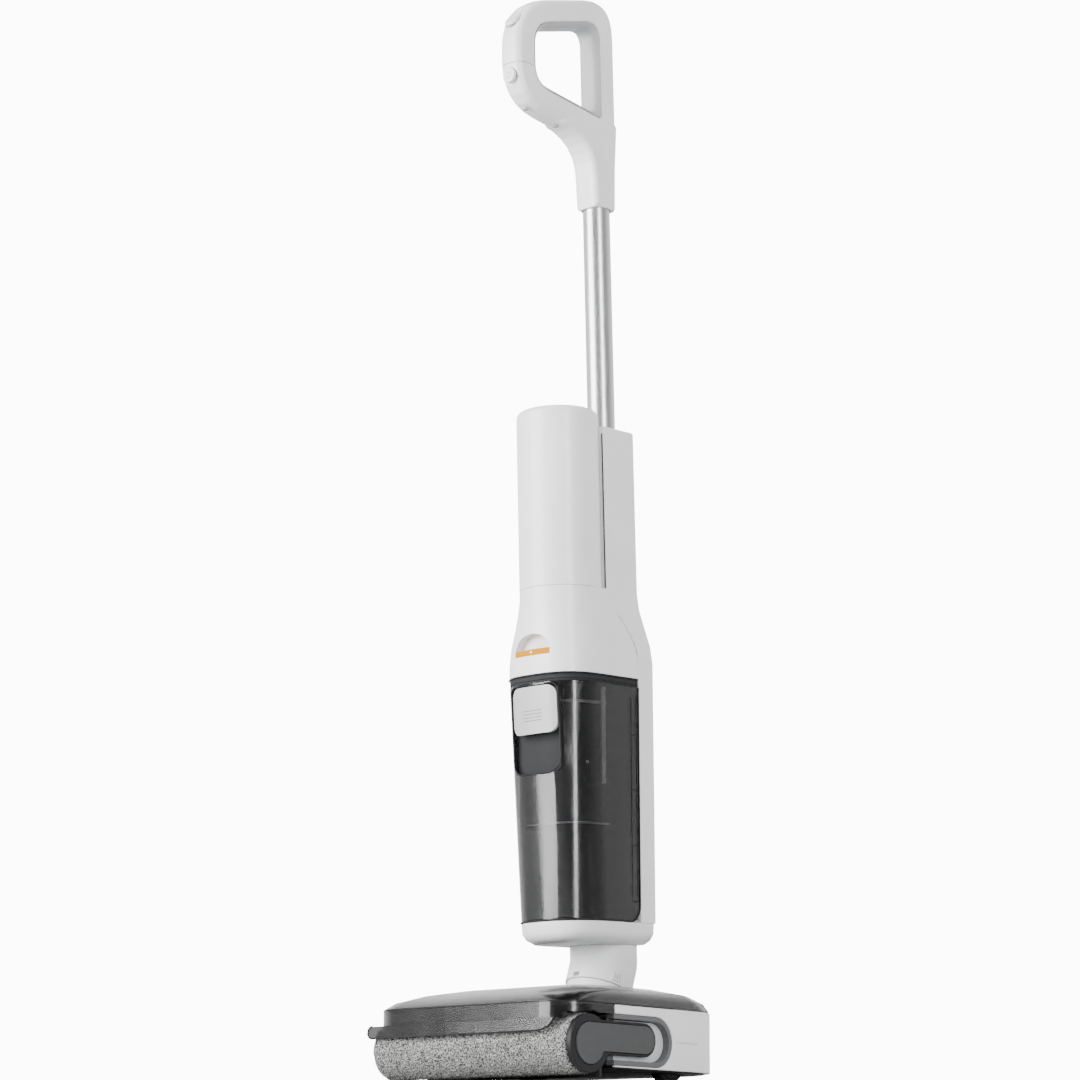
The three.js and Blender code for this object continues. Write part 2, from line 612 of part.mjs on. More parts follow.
function shoulder() {
  const { z0, z1 } = SHOULDER;
  const heights = [z0, 412, 430, 448, 466, 480, z1];
  const inside = [z0 - 1, 412, 430, 448, 466, z1 - WALL];
  const outer = cut(column(heights, 0, PAST_REAR), spineFront(-GAP));
  const inner = cut(column(inside, WALL, PAST_REAR), spineFront(-GAP - WALL));
  const pocketOutline = new THREE.Shape();
  pocketOutline.moveTo(-23, 419);
  pocketOutline.lineTo(23, 419);
  pocketOutline.lineTo(23, 424);
  pocketOutline.absellipse(0, 424, 23, 17, 0, Math.PI, false);
  pocketOutline.closePath();
  const well = front(pocketOutline, 50, 82, 12);
  const wellWall = front(roundRect(-25.5, 25.5, 416.5, 444, 8), 50, 84.5).intersect(outer);
  const shell = cut(join(cut(outer, inner), wellWall), well);
  add(body, 'shoulder_shell', shell, WHITE);
  const strip = box(-22.5, 22.5, 50, 79, 419.4, 425.2).intersect(column([z0, 412, 430, z1], 0.4, PAST_REAR));
  add(body, 'tank_release_button', strip, ORANGE);
}

// ---------------------------------------------------------------- body: suction unit and electrics

function suctionUnit() {
  const centre = [0, 119];
  add(body, 'suction_motor', pipe('z', 29, 3.6, 431, 470, centre), STEEL);
  const fan = join(rod('z', 26, 419, 422, centre), rod('z', 3.2, 420, 474, centre, FINE));
  const blades = [0, 1, 2, 3, 4, 5].map((i) => {
    const blade = new THREE.BoxGeometry(20, 2, 6);
    blade.translate(14, 0, 0).rotateZ((i * Math.PI) / 3).translate(0, centre[1], 424.5);
    return solid(blade);
  });
  add(body, 'suction_fan', join(fan, ...blades), ALUMINIUM);
  add(body, 'motor_filter', pipe('z', 33, 12, 401.5, 412, centre), FILTER_FOAM);
}

function electrics() {
  const cells = [0, 1, 2].map((i) => rod('z', 10.4, 196, 326, [-22 + 22 * i, 190.6], FINE));
  const tray = box(-33.5, 33.5, 178.5, 184, 192, 330);
  add(body, 'battery_pack', join(tray, ...cells), BATTERY_BLUE);
  add(body, 'control_board', box(-30, 30, 190, 191.6, 345, 415), GREEN);
  const pumpAxis = [0, 186];
  const pump = join(rod('z', 12, 505, 540, pumpAxis, FINE), rod('z', 3, 539, 552, pumpAxis, FINE));
  add(body, 'water_pump', pump, COPPER);
}

// ---------------------------------------------------------------- body: dirty-water tank

function tankProfile(shrink) {
  const y1 = TANK.rear - shrink;
  const z0 = TANK.z0 + shrink;
  const r = 16 - shrink;
  const shape = new THREE.Shape();
  shape.moveTo(20, z0);
  shape.lineTo(y1 - r, z0);
  shape.absarc(y1 - r, z0 + r, r, -Math.PI / 2, 0, false);
  shape.lineTo(y1, 460);
  shape.lineTo(20, 460);
  shape.closePath();
  return side(shape, -80, 80);
}

const TANK_HEIGHTS = [TANK.z0, 230, 310, TANK.z1]; // where the tank's sections are drawn

function dirtyTank() {
  const { z0, z1, wall, lidTop } = TANK;
  const outer = column(TANK_HEIGHTS, 0, PAST_REAR).intersect(tankProfile(0));
  const inner = column([z0 - 1, 230, 310, z1 + 1], wall, PAST_REAR).intersect(tankProfile(wall + 0.8));
  const wellOutline = (grow, top) => {
    const half = GRIP.half + grow;
    return roundRect(-half, half, GRIP.z0 - grow, top, 8 + grow / 2);
  };
  const gripWell = front(wellOutline(0, GRIP.z1), 40, GRIP.depth);
  const gripWall = front(wellOutline(2, z1), 40, GRIP.depth + 2).intersect(outer);
  const riser = rod('z', RISER.radius, z0, RISER.top, [0, RISER.y], FINE);
  const shell = cut(
    join(cut(outer, inner), gripWall, riser),
    gripWell,
    rod('z', RISER.bore, z0 - 1, RISER.top + 1, [0, RISER.y], FINE),
  );
  add(body, 'dirty_tank_shell', shell, SMOKE);

  const lidRim = column([z1 + 2.4, lidTop], 0.3, PAST_REAR).intersect(tankProfile(0.3));
  const mouth = rod('z', MOUTH.lid, z1, lidTop + 1, [0, MOUTH.y], FINE);
  add(body, 'tank_lid', cut(lidRim, mouth), BLACK);
  const sealRing = cut(
    column([z1 + GAP, z1 + 2.1], 0.2, PAST_REAR).intersect(tankProfile(0.2)),
    column([z1 - 1, z1 + 4], 3.4, PAST_REAR).intersect(tankProfile(3.4)),
  );
  add(body, 'tank_gasket', sealRing, RUBBER);

}

// The strainer hangs in the tank's mouth, clear of the grip well, with a tube that guides the float.
function strainer() {
  const { foot, rear, floatX, floatY } = STRAINER;
  const ahead = (y) => box(-80, 80, 40, y, 0, 600);
  const basket = column([foot, 310, 389], TANK.wall + 5, PAST_REAR).intersect(ahead(rear));
  const basketInner = column([foot + 2, 310, 392], TANK.wall + 6.6, PAST_REAR).intersect(ahead(rear - 1.6));
  const wellRoom = roundRect(-GRIP.half - 3, GRIP.half + 3, GRIP.z0 - 4, 420, 12);
  const clearOfWell = front(wellRoom, 40, GRIP.depth + 3);
  const guide = rod('z', 6, foot + 1, 300, [floatX, floatY], FINE);
  const guideBore = rod('z', 4.4, foot + 4, 301, [floatX, floatY], FINE);
  const drain = rod('z', MOUTH.drain, foot - 1, foot + 3, [0, MOUTH.y], FINE);
  const strainerShell = cut(join(cut(basket, basketInner, clearOfWell), guide), guideBore, drain);
  add(body, 'strainer_basket', strainerShell, MID_GREY);
  add(body, 'float_pin', rod('z', 4, 262, 288, [floatX, floatY], FINE), WHITE);
}

function tankLatch() {
  const { latch, latchZ, latchRound, z1 } = GRIP;
  const outer = column(TANK_HEIGHTS, 0.1, PAST_REAR);
  const inner = column([TANK.z0 - 1, ...TANK_HEIGHTS.slice(1, -1), TANK.z1 + 1], 3.2, PAST_REAR);
  const paddle = front(roundRect(-latch, latch, latchZ, z1 - 1, latchRound), 50, 82);
  add(body, 'tank_latch', paddle.intersect(cut(outer, inner)), LIGHT_GREY);
}

// ---------------------------------------------------------------- body: clean-water tank

function cleanTank() {
  const { y, radius, z0, z1, round } = CLEAN;
  const profile = (r, bottom, top, corner) => {
    const points = [new THREE.Vector2(0, bottom), new THREE.Vector2(r, bottom)];
    for (let i = 0; i <= 5; i += 1) {
      const a = (i / 5) * (Math.PI / 2);
      points.push(new THREE.Vector2(r - corner + corner * Math.cos(a), top - corner + corner * Math.sin(a)));
    }
    points.push(new THREE.Vector2(0, top));
    const geometry = new THREE.LatheGeometry(points, 36);
    return solid(geometry.rotateX(Math.PI / 2).translate(0, y, 0));
  };
  const fill = rod('z', FILL.radius, z1 - 10, z1 + 1, [0, y + FILL.back], FINE);
  const outlet = rod('y', VALVE.radius + GAP, y + 20, y + radius + 1, [0, VALVE.z], FINE);
  const hollow = profile(radius - TANK.wall, z0 + TANK.wall, z1 - TANK.wall, round - 2);
  const shell = cut(profile(radius, z0, z1, round), hollow, fill, outlet);
  add(body, 'clean_tank_shell', shell, WHITE);
  const plug = rod('z', FILL.radius - GAP, z1 - 5, z1 - 0.4, [0, y + FILL.back], FINE);
  add(body, 'fill_plug', plug, RUBBER);
  const valve = pipe('y', VALVE.radius, 2.6, y + radius - 8, y + radius + 9, [0, VALVE.z], FINE);
  add(body, 'tank_valve', valve, LIGHT_GREY);
}

// ---------------------------------------------------------------- pole and handle

function pole() {
  const centre = [0, POLE.y];
  add(body, 'pole_tube', pipe('z', POLE.radius, POLE.bore, POLE.z0, POLE.z1, centre), ALUMINIUM);
}

// The loop's outline seen from the side, grown or shrunk from the bars' centre line.
function loopOutline(grow) {
  const { frontY, rearY } = HANDLE;
  return roundedPolygon([
    { y: frontY - grow, z: 1005.8 - 0.88 * grow, r: 32 + grow },
    { y: rearY + grow, z: 989.7 - 1.14 * grow, r: 16 + grow },
    { y: rearY + grow, z: 1123.2 + 1.32 * grow, r: 33 + grow },
    { y: frontY - grow, z: 1088.6 + 0.76 * grow, r: 35 + grow },
  ]);
}

const SHARPEST = 6; // the least rounding of the loop's corners

// A closed outline whose corners are rounded by the given radii.
function roundedPolygon(corners) {
  const shape = new THREE.Shape();
  corners.forEach(({ y, z, r }, i) => {
    const here = new THREE.Vector2(y, z);
    const before = corners[(i + corners.length - 1) % corners.length];
    const after = corners[(i + 1) % corners.length];
    const toBefore = new THREE.Vector2(before.y, before.z).sub(here).normalize();
    const toAfter = new THREE.Vector2(after.y, after.z).sub(here).normalize();
    const reach = Math.max(r, SHARPEST);
    const start = here.clone().addScaledVector(toBefore, reach);
    const end = here.clone().addScaledVector(toAfter, reach);
    if (i === 0) shape.moveTo(start.x, start.y);
    else shape.lineTo(start.x, start.y);
    shape.quadraticCurveTo(here.x, here.y, end.x, end.y);
  });
  shape.closePath();
  return shape;
}

function handle() {
  const { bar, half, collar, rearY, frontY } = HANDLE;
  const opening = side(loopOutline(-bar), -half - 0.5, half + 0.5, -9);
  const ring = cut(side(loopOutline(bar), -half, half, 9), opening);
  const stemOutline = new THREE.Shape();
  stemOutline.moveTo(POLE.y - 16.2, collar);
  stemOutline.lineTo(POLE.y + 16.2, collar);
  stemOutline.lineTo(POLE.y + 18, 950);
  stemOutline.lineTo(rearY + bar, 1000);
  stemOutline.lineTo(150, 1006);
  stemOutline.lineTo(120, 984);
  stemOutline.quadraticCurveTo(POLE.y - 19, 976, POLE.y - 18, 940);
  stemOutline.closePath();
  const stem = side(stemOutline, -15.6, 15.6, 6);
  const collarTube = rod('z', 16.2, collar, 930, [0, POLE.y]);
  const socket = rod('z', POLE.radius + GAP, collar - 1, POLE.z1 + 1, [0, POLE.y]);
  const power = rod('y', 8.3, 40, frontY - bar + 6, [0, POWER_Z], FINE);
  const whole = join(ring, cut(stem, side(loopOutline(-bar + 1), -half - 2, half + 2)), collarTube);
  const linerCut = side(loopOutline(-bar + 5.3), -half - 1, half + 1);
  const shell = cut(whole, linerCut, socket, power, modeButton(GAP, 12), ...screws(3.2, 6));
  add(body, 'handle_shell', shell, WHITE);
  const insert = ring.intersect(side(loopOutline(-bar + 5), -half - 1, half + 1));
  add(body, 'handle_insert', insert, LIGHT_GREY);
  const nose = frontY - bar;
  add(body, 'power_button', rod('y', 8, nose - 0.4, nose + 3, [0, POWER_Z], FINE), WHITE);
  add(body, 'mode_button', modeButton(0, 0), WHITE);
  screws(2.9, 3).forEach((screw, i) => add(body, `handle_screw_${i + 1}`, screw, STEEL));
}

// The oval button on the upper front corner, square to the corner's slope. The seat for it runs further out.
function modeButton(grow, extra) {
  const outline = roundRect(-8 - grow, 8 + grow, -13 - grow, 13 + grow, 8 + grow);
  const geometry = new THREE.ExtrudeGeometry(outline, { depth: 3 + extra, bevelEnabled: false });
  geometry.translate(0, 0, extra > 0 ? -2.6 : 0);
  geometry.rotateX(THREE.MathUtils.degToRad(48)).translate(0, 64.4, 1084.4);
  return solid(geometry);
}

// The two screws under the sloping lower bar, or the longer wells that they sit in.
function screws(radius, length) {
  return [78, 124].map((y, i) => {
    const geometry = new THREE.CylinderGeometry(radius, radius, length, FINE);
    const z = 990 - 7 * i - (length > 4 ? 1.4 : 0);
    geometry.rotateX(Math.PI / 2).translate(0, y, z);
    return solid(geometry);
  });
}

// ---------------------------------------------------------------- build

sidePanels();
recess();
basePlate();
deck();
suctionDuct();
mouthParts();
rollerDrive();
wheels();
pivotBracket();
headCover();
roller();
rollerCartridge();
neck();
baseCup();
spine();
spineLiner();
shoulder();
suctionUnit();
electrics();
dirtyTank();
strainer();
tankLatch();
cleanTank();
pole();
handle();

export default machine;
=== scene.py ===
import json
import math
import random

import bmesh
import bpy
from mathutils import Matrix, Vector, noise


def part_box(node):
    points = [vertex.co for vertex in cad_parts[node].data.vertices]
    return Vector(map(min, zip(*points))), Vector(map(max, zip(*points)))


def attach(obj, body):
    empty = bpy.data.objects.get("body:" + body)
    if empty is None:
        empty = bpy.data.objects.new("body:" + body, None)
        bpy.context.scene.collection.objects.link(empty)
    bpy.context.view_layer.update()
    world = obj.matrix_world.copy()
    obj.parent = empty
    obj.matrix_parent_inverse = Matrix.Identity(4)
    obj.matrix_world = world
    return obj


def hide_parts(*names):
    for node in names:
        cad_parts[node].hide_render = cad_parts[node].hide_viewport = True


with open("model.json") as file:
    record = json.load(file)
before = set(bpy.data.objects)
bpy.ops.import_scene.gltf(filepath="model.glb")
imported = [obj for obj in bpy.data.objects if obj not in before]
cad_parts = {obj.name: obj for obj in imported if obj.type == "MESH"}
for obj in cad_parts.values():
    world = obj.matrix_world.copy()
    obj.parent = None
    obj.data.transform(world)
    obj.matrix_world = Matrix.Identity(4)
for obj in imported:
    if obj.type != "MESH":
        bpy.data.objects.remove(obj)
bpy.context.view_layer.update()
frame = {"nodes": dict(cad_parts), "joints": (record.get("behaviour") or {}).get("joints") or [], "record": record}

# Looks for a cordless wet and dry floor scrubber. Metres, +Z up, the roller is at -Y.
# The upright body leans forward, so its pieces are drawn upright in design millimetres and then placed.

MM = 0.001
NODES = frame["nodes"]

# ---------------------------------------------------------------- places

PIN_LOW, PIN_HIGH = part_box("pivot_pin")
PIVOT = (PIN_LOW + PIN_HIGH) / 2  # the neck's hinge
PIVOT_Y = 142  # the same point in design millimetres
PIVOT_Z = 45
UP_AXIS = Vector(next(j["axis"] for j in frame["joints"] if j["name"] == "pole_pull_out"))
LEAN = math.atan2(-UP_AXIS.y, UP_AXIS.z)
TO_METRES = Matrix.Scale(MM, 4)
FROM_PIVOT = Matrix.Translation((0, -PIVOT_Y, -PIVOT_Z))
UPRIGHT = Matrix.Translation(PIVOT) @ Matrix.Rotation(LEAN, 4, "X") @ TO_METRES @ FROM_PIVOT
LEVEL = Matrix.Translation((0, PIVOT.y, PIVOT.z)) @ TO_METRES @ FROM_PIVOT
SHARP_ANGLE = 38  # degrees; edges sharper than this stay crisp
FLAT_ANGLE = 1.5  # degrees; faces closer to flat than this are joined


# ---------------------------------------------------------------- materials


class Shader:
    """A principled material with short helpers for its procedural nodes."""

    def __init__(self, name, colour, roughness, **sockets):
        self.material = bpy.data.materials.new(name)
        self.material.use_nodes = True
        self.tree = self.material.node_tree
        self.bsdf = self.tree.nodes["Principled BSDF"]
        self.bsdf.inputs["Base Color"].default_value = (*colour, 1)
        self.bsdf.inputs["Roughness"].default_value = roughness
        for socket, value in sockets.items():
            self.bsdf.inputs[socket.replace("_", " ")].default_value = value
        self.coordinates = self.tree.nodes.new("ShaderNodeTexCoord").outputs["Object"]

    def node(self, kind, **inputs):
        made = self.tree.nodes.new(kind)
        for socket, value in inputs.items():
            made.inputs[socket].default_value = value
        return made

    def stretched(self, scale):
        """Object coordinates, stretched along each axis."""
        mapping = self.node("ShaderNodeMapping", Scale=scale)
        self.tree.links.new(self.coordinates, mapping.inputs["Vector"])
        return mapping.outputs["Vector"]

    def noise(self, scale, detail=3.0, stretch=(1, 1, 1)):
        made = self.node("ShaderNodeTexNoise", Scale=scale, Detail=detail)
        self.tree.links.new(self.stretched(stretch), made.inputs["Vector"])
        return made.outputs["Fac"]

    def spread(self, value, low, high, start=0.3, end=0.7):
        made = self.tree.nodes.new("ShaderNodeMapRange")
        made.inputs["From Min"].default_value = start
        made.inputs["From Max"].default_value = end
        made.inputs["To Min"].default_value = low
        made.inputs["To Max"].default_value = high
        self.tree.links.new(value, made.inputs["Value"])
        return made.outputs["Result"]

    def tint(self, value, dark, light, start=0.35, end=0.65):
        """Colour that runs between two tones with a value."""
        ramp = self.tree.nodes.new("ShaderNodeValToRGB")
        ramp.color_ramp.elements[0].position = start
        ramp.color_ramp.elements[0].color = (*dark, 1)
        ramp.color_ramp.elements[1].position = end
        ramp.color_ramp.elements[1].color = (*light, 1)
        self.tree.links.new(value, ramp.inputs["Fac"])
        self.tree.links.new(ramp.outputs["Color"], self.bsdf.inputs["Base Color"])

    def rough(self, value, low, high):
        self.tree.links.new(self.spread(value, low, high), self.bsdf.inputs["Roughness"])

    def bump(self, value, strength, distance):
        made = self.node("ShaderNodeBump", Strength=strength, Distance=distance)
        self.tree.links.new(value, made.inputs["Height"])
        self.tree.links.new(made.outputs["Normal"], self.bsdf.inputs["Normal"])


def shade(colour, factor):
    return tuple(min(1.0, c * factor) for c in colour)


def moulded(name, colour, roughness, depth=0.00003, change=0.03, **sockets):
    """Moulded plastic: a fine spark-eroded grain, faint flow clouds and uneven gloss."""
    s = Shader(name, colour, roughness, **sockets)
    clouds = s.noise(14.0, 2.0)
    s.tint(clouds, shade(colour, 1 - change), shade(colour, 1 + change))
    fine = s.noise(900.0, 2.0)
    s.rough(s.noise(60.0, 4.0), roughness - 0.05, roughness + 0.06)
    s.bump(fine, 0.25, depth)
    return s.material


def brushed(name, colour, roughness, stretch):
    """Metal with fine lines along one axis."""
    s = Shader(name, colour, roughness, Metallic=1.0)
    lines = s.noise(1.0, 4.0, stretch)
    s.tint(lines, shade(colour, 0.93), shade(colour, 1.05))
    s.rough(lines, roughness - 0.06, roughness + 0.1)
    s.bump(lines, 0.15, 0.00002)
    return s.material


def smoked(name, colour, far_side_shade):
    """Clear smoked plastic with painted shade that darkens it towards -X, slight moulding waves and faint wipe
    marks.
    """
    roughness = 0.17
    s = Shader(name, colour, roughness, Transmission_Weight=1.0, IOR=1.46)
    waves = s.noise(9.0, 1.0, (1, 1, 0.35))
    place = s.tree.nodes.new("ShaderNodeSeparateXYZ")
    s.tree.links.new(s.coordinates, place.inputs["Vector"])
    # painted shade: towards -X the colour runs to a darker tone that stands in for shade on that side
    s.tint(s.spread(place.outputs["X"], 0.0, 1.0, -0.05, 0.02), far_side_shade, colour)
    s.rough(s.noise(35.0, 5.0, (1, 1, 0.2)), roughness - 0.03, roughness + 0.03)
    s.bump(waves, 0.06, 0.0002)
    return s.material


def pile_material(name):
    """Short mixed pile: light and dark fibres in small flecks, darker towards the roots."""
    s = Shader(name, (0.5, 0.5, 0.49), 0.9, Sheen_Weight=0.1)
    flecks = s.noise(1250.0, 2.0, (1, 0.6, 0.6))
    s.tint(flecks, (0.003, 0.003, 0.003), (0.42, 0.42, 0.41), 0.47, 0.57)
    s.bump(s.noise(700.0, 3.0, (0.5, 1, 1)), 0.8, 0.0008)
    return s.material


def rubber_material(name):
    s = Shader(name, (0.03, 0.03, 0.032), 0.75)
    s.tint(s.noise(120.0, 4.0), (0.022, 0.022, 0.024), (0.045, 0.045, 0.047))
    s.rough(s.noise(80.0, 3.0), 0.65, 0.85)
    s.bump(s.noise(1500.0, 2.0), 0.4, 0.00006)
    return s.material


def foam_material(name):
    s = Shader(name, (0.72, 0.7, 0.63), 0.95)
    s.tint(s.noise(600.0, 4.0), (0.5, 0.48, 0.42), (0.85, 0.83, 0.76))
    s.bump(s.noise(650.0, 2.0), 1.0, 0.0008)
    return s.material


def board_material(name):
    s = Shader(name, (0.02, 0.16, 0.07), 0.4, Coat_Weight=0.4)
    tracks = s.noise(160.0, 1.0, (1, 1, 6))
    s.tint(tracks, (0.012, 0.11, 0.05), (0.03, 0.22, 0.1))
    s.bump(tracks, 0.4, 0.0001)
    return s.material


def glow_material(name, colour, strength):
    s = Shader(name, colour, 0.3, Emission_Strength=strength)
    s.bsdf.inputs["Emission Color"].default_value = (*colour, 1)
    s.rough(s.noise(200.0, 2.0), 0.25, 0.4)
    return s.material


WHITE = moulded("white_satin", (0.80, 0.805, 0.815), 0.36, Coat_Weight=0.15)
WHITE_MATT = moulded("white_matt", (0.74, 0.745, 0.755), 0.5)
LIGHT_GREY = moulded("light_grey", (0.52, 0.53, 0.545), 0.45)
LINER_GREY = moulded("liner_grey", (0.40, 0.404, 0.415), 0.42)
PADDLE_GREY = moulded("paddle_grey", (0.40, 0.404, 0.41), 0.38)
MID_GREY = moulded("mid_grey", (0.066, 0.067, 0.069), 0.55, depth=0.00005, Specular_IOR_Level=0.2)
LINER_PALE = moulded("liner_pale", (0.42, 0.422, 0.428), 0.4)
RECESS_GREY = moulded("recess_grey", (0.095, 0.097, 0.10), 0.45)
BLACK = moulded("black_plastic", (0.008, 0.008, 0.009), 0.45, change=0.15, Specular_IOR_Level=0.25)
SEAM = moulded("seam_shadow", (0.22, 0.222, 0.228), 0.8)
DARK_SEAM = moulded("dark_seam", (0.02, 0.02, 0.022), 0.7)
# the second colour of each smoked finish is painted shade, used towards -X
SMOKE = smoked("smoked_clear", (0.30, 0.303, 0.308), (0.10, 0.101, 0.104))
BASKET_SMOKE = smoked("smoked_basket", (0.62, 0.623, 0.63), (0.5, 0.502, 0.508))
COVER_SMOKE = smoked("smoked_cover", (0.11, 0.111, 0.114), (0.10, 0.101, 0.104))
LIP_SMOKE = smoked("smoked_lip", (0.30, 0.303, 0.31), (0.10, 0.101, 0.104))
SMOKE_BLACK = moulded("deep_smoke", (0.028, 0.029, 0.03), 0.6, change=0.1, Specular_IOR_Level=0.05)
PILE = pile_material("mixed_pile")
RUBBER = rubber_material("black_rubber")
ORANGE = moulded("orange_plastic", (0.50, 0.2, 0.0), 0.55, change=0.06, Specular_IOR_Level=0.08)
ALUMINIUM = brushed("satin_aluminium", (0.52, 0.525, 0.54), 0.3, (2200, 2200, 12))
STEEL = brushed("turned_steel", (0.5, 0.5, 0.51), 0.3, (1800, 60, 60))
COPPER = brushed("wound_copper", (0.72, 0.38, 0.2), 0.35, (60, 60, 1800))
BATTERY_BLUE = moulded("battery_sleeve", (0.05, 0.16, 0.36), 0.25, Coat_Weight=0.5)
FOAM = foam_material("filter_foam")
BOARD = board_material("circuit_board")
LAMP = glow_material("small_lamp", (1.0, 0.93, 0.8), 1.2)

# ---------------------------------------------------------------- pieces from CAD shapes


def finish_mesh(piece, material, body, angle):
    piece.data.materials.clear()
    piece.data.materials.append(material)
    bpy.context.view_layer.objects.active = piece
    piece.select_set(True)
    bpy.ops.object.shade_smooth_by_angle(angle=math.radians(angle))
    piece.select_set(False)
    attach(piece, body)
    return piece


def body_of(node):
    return next(b for b, nodes in frame["record"]["behaviour"]["bodies"].items() if node in nodes)


def apply_modifiers(piece):
    bpy.context.view_layer.objects.active = piece
    for modifier in list(piece.modifiers):
        bpy.ops.object.modifier_apply(modifier=modifier.name)


def refined(node, material, round_mm):
    """A copy of a CAD node with welded faces, eased edges and smooth curves, shown in its place."""
    mesh = bpy.data.meshes.new(f"{node}_finish")
    work = bmesh.new()
    work.from_mesh(NODES[node].data)
    bmesh.ops.remove_doubles(work, verts=work.verts, dist=2e-6)
    bmesh.ops.dissolve_limit(
        work,
        angle_limit=math.radians(FLAT_ANGLE),
        verts=work.verts,
        edges=work.edges,
        use_dissolve_boundaries=False,
    )
    work.to_mesh(mesh)
    work.free()
    piece = bpy.data.objects.new(f"{node}_finish", mesh)
    bpy.context.scene.collection.objects.link(piece)
    bevel = piece.modifiers.new("ease", "BEVEL")
    bevel.width = round_mm * MM
    bevel.segments = 2
    bevel.limit_method = "ANGLE"
    bevel.angle_limit = math.radians(SHARP_ANGLE)
    bevel.use_clamp_overlap = True
    bevel.harden_normals = False
    apply_modifiers(piece)
    finish_mesh(piece, material, body_of(node), SHARP_ANGLE)
    weights = piece.modifiers.new("flat_faces", "WEIGHTED_NORMAL")
    weights.keep_sharp = True
    apply_modifiers(piece)
    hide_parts(node)
    return piece


def melted(node, material, voxel_mm, passes):
    """A copy of a CAD node whose junctions and edges run softly into each other, shown in its place."""
    piece = bpy.data.objects.new(f"{node}_finish", NODES[node].data.copy())
    bpy.context.scene.collection.objects.link(piece)
    remesh = piece.modifiers.new("voxels", "REMESH")
    remesh.mode = "VOXEL"
    remesh.voxel_size = voxel_mm * MM
    smooth = piece.modifiers.new("soften", "SMOOTH")
    smooth.factor = 0.5
    smooth.iterations = passes
    apply_modifiers(piece)
    finish_mesh(piece, material, body_of(node), 60)
    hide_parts(node)
    return piece


def cut_room(piece, button, joint_name):
    """Cuts clearance into a shown piece for a button, at rest, halfway and pressed."""
    growth = 1.06
    joint = next(j for j in frame["joints"] if j["name"] == joint_name)
    low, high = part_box(button)
    centre = (low + high) / 2
    travel = Vector(joint["axis"]) * max(joint["range_m"], key=abs)
    for share in (0.0, 0.5, 1.0):
        place = Matrix.Translation(centre + travel * share)
        mesh = NODES[button].data.copy()
        mesh.transform(place @ Matrix.Scale(growth, 4) @ Matrix.Translation(-centre))
        cutter = bpy.data.objects.new("cutter", mesh)
        bpy.context.scene.collection.objects.link(cutter)
        cut = piece.modifiers.new("room", "BOOLEAN")
        cut.operation = "DIFFERENCE"
        cut.object = cutter
        apply_modifiers(piece)
        bpy.data.objects.remove(cutter)
        bpy.data.meshes.remove(mesh)


def dress(node, material):
    """Gives a carried-over CAD node its finish."""
    data = NODES[node].data
    data.materials.clear()
    data.materials.append(material)


def new_piece(name, points, faces, material, body, matrix, angle=SHARP_ANGLE):
    mesh = bpy.data.meshes.new(name)
    mesh.from_pydata([matrix @ Vector(p) for p in points], [], faces)
    mesh.validate()
    work = bmesh.new()
    work.from_mesh(mesh)
    bmesh.ops.recalc_face_normals(work, faces=work.faces)
    work.to_mesh(mesh)
    work.free()
    piece = bpy.data.objects.new(name, mesh)
    bpy.context.scene.collection.objects.link(piece)
    return finish_mesh(piece, material, body, angle)


def tube_mesh(path, radius, sides=8, closed=False):
    """Points and faces of a round cord along a path."""
    path = [Vector(p) for p in path]
    count = len(path)
    points = []
    for i, here in enumerate(path):
        before = path[i - 1] if closed or i > 0 else here
        after = path[(i + 1) % count] if closed or i < count - 1 else here
        along = (after - before).normalized()
        side = along.cross(Vector((0, 0, 1)))
        if side.length < 0.2:
            side = along.cross(Vector((1, 0, 0)))
        side.normalize()
        up = side.cross(along)
        for k in range(sides):
            turn = 2 * math.pi * k / sides
            points.append(here + radius * (math.cos(turn) * side + math.sin(turn) * up))
    faces = []
    for i in range(count if closed else count - 1):
        for k in range(sides):
            a = i * sides + k
            b = i * sides + (k + 1) % sides
            c = ((i + 1) % count) * sides + (k + 1) % sides
            d = ((i + 1) % count) * sides + k
            faces.append((a, b, c, d))
    if not closed:
        faces.append(tuple(range(sides))[::-1])
        faces.append(tuple((count - 1) * sides + k for k in range(sides)))
    return points, faces


def line_piece(name, path, radius, material, body, slot, matrix, closed=False, sides=8):
    points, faces = tube_mesh(path, radius, sides, closed)
    return new_piece(name, points, faces, material, body, matrix)


def plate_piece(name, front, back, material, body, matrix):
    """A plate between two outlines that have the same number of points."""
    count = len(front)
    faces = [tuple(range(count)), tuple(range(2 * count - 1, count - 1, -1))]
    faces += [(i, (i + 1) % count, count + (i + 1) % count, count + i) for i in range(count)]
    return new_piece(name, front + back, faces, material, body, matrix)


def tank_line(name, path, radius, **options):
    """A dark moulded line on the dirty-water tank."""
    line_piece(name, path, radius, BLACK, "dirty_tank", "black_plastic", UPRIGHT, **options)


def body_line(name, path, radius, material, slot, **options):
    """A seam, slot or stud on the upright body."""
    line_piece(name, path, radius, material, "main_body", slot, UPRIGHT, **options)


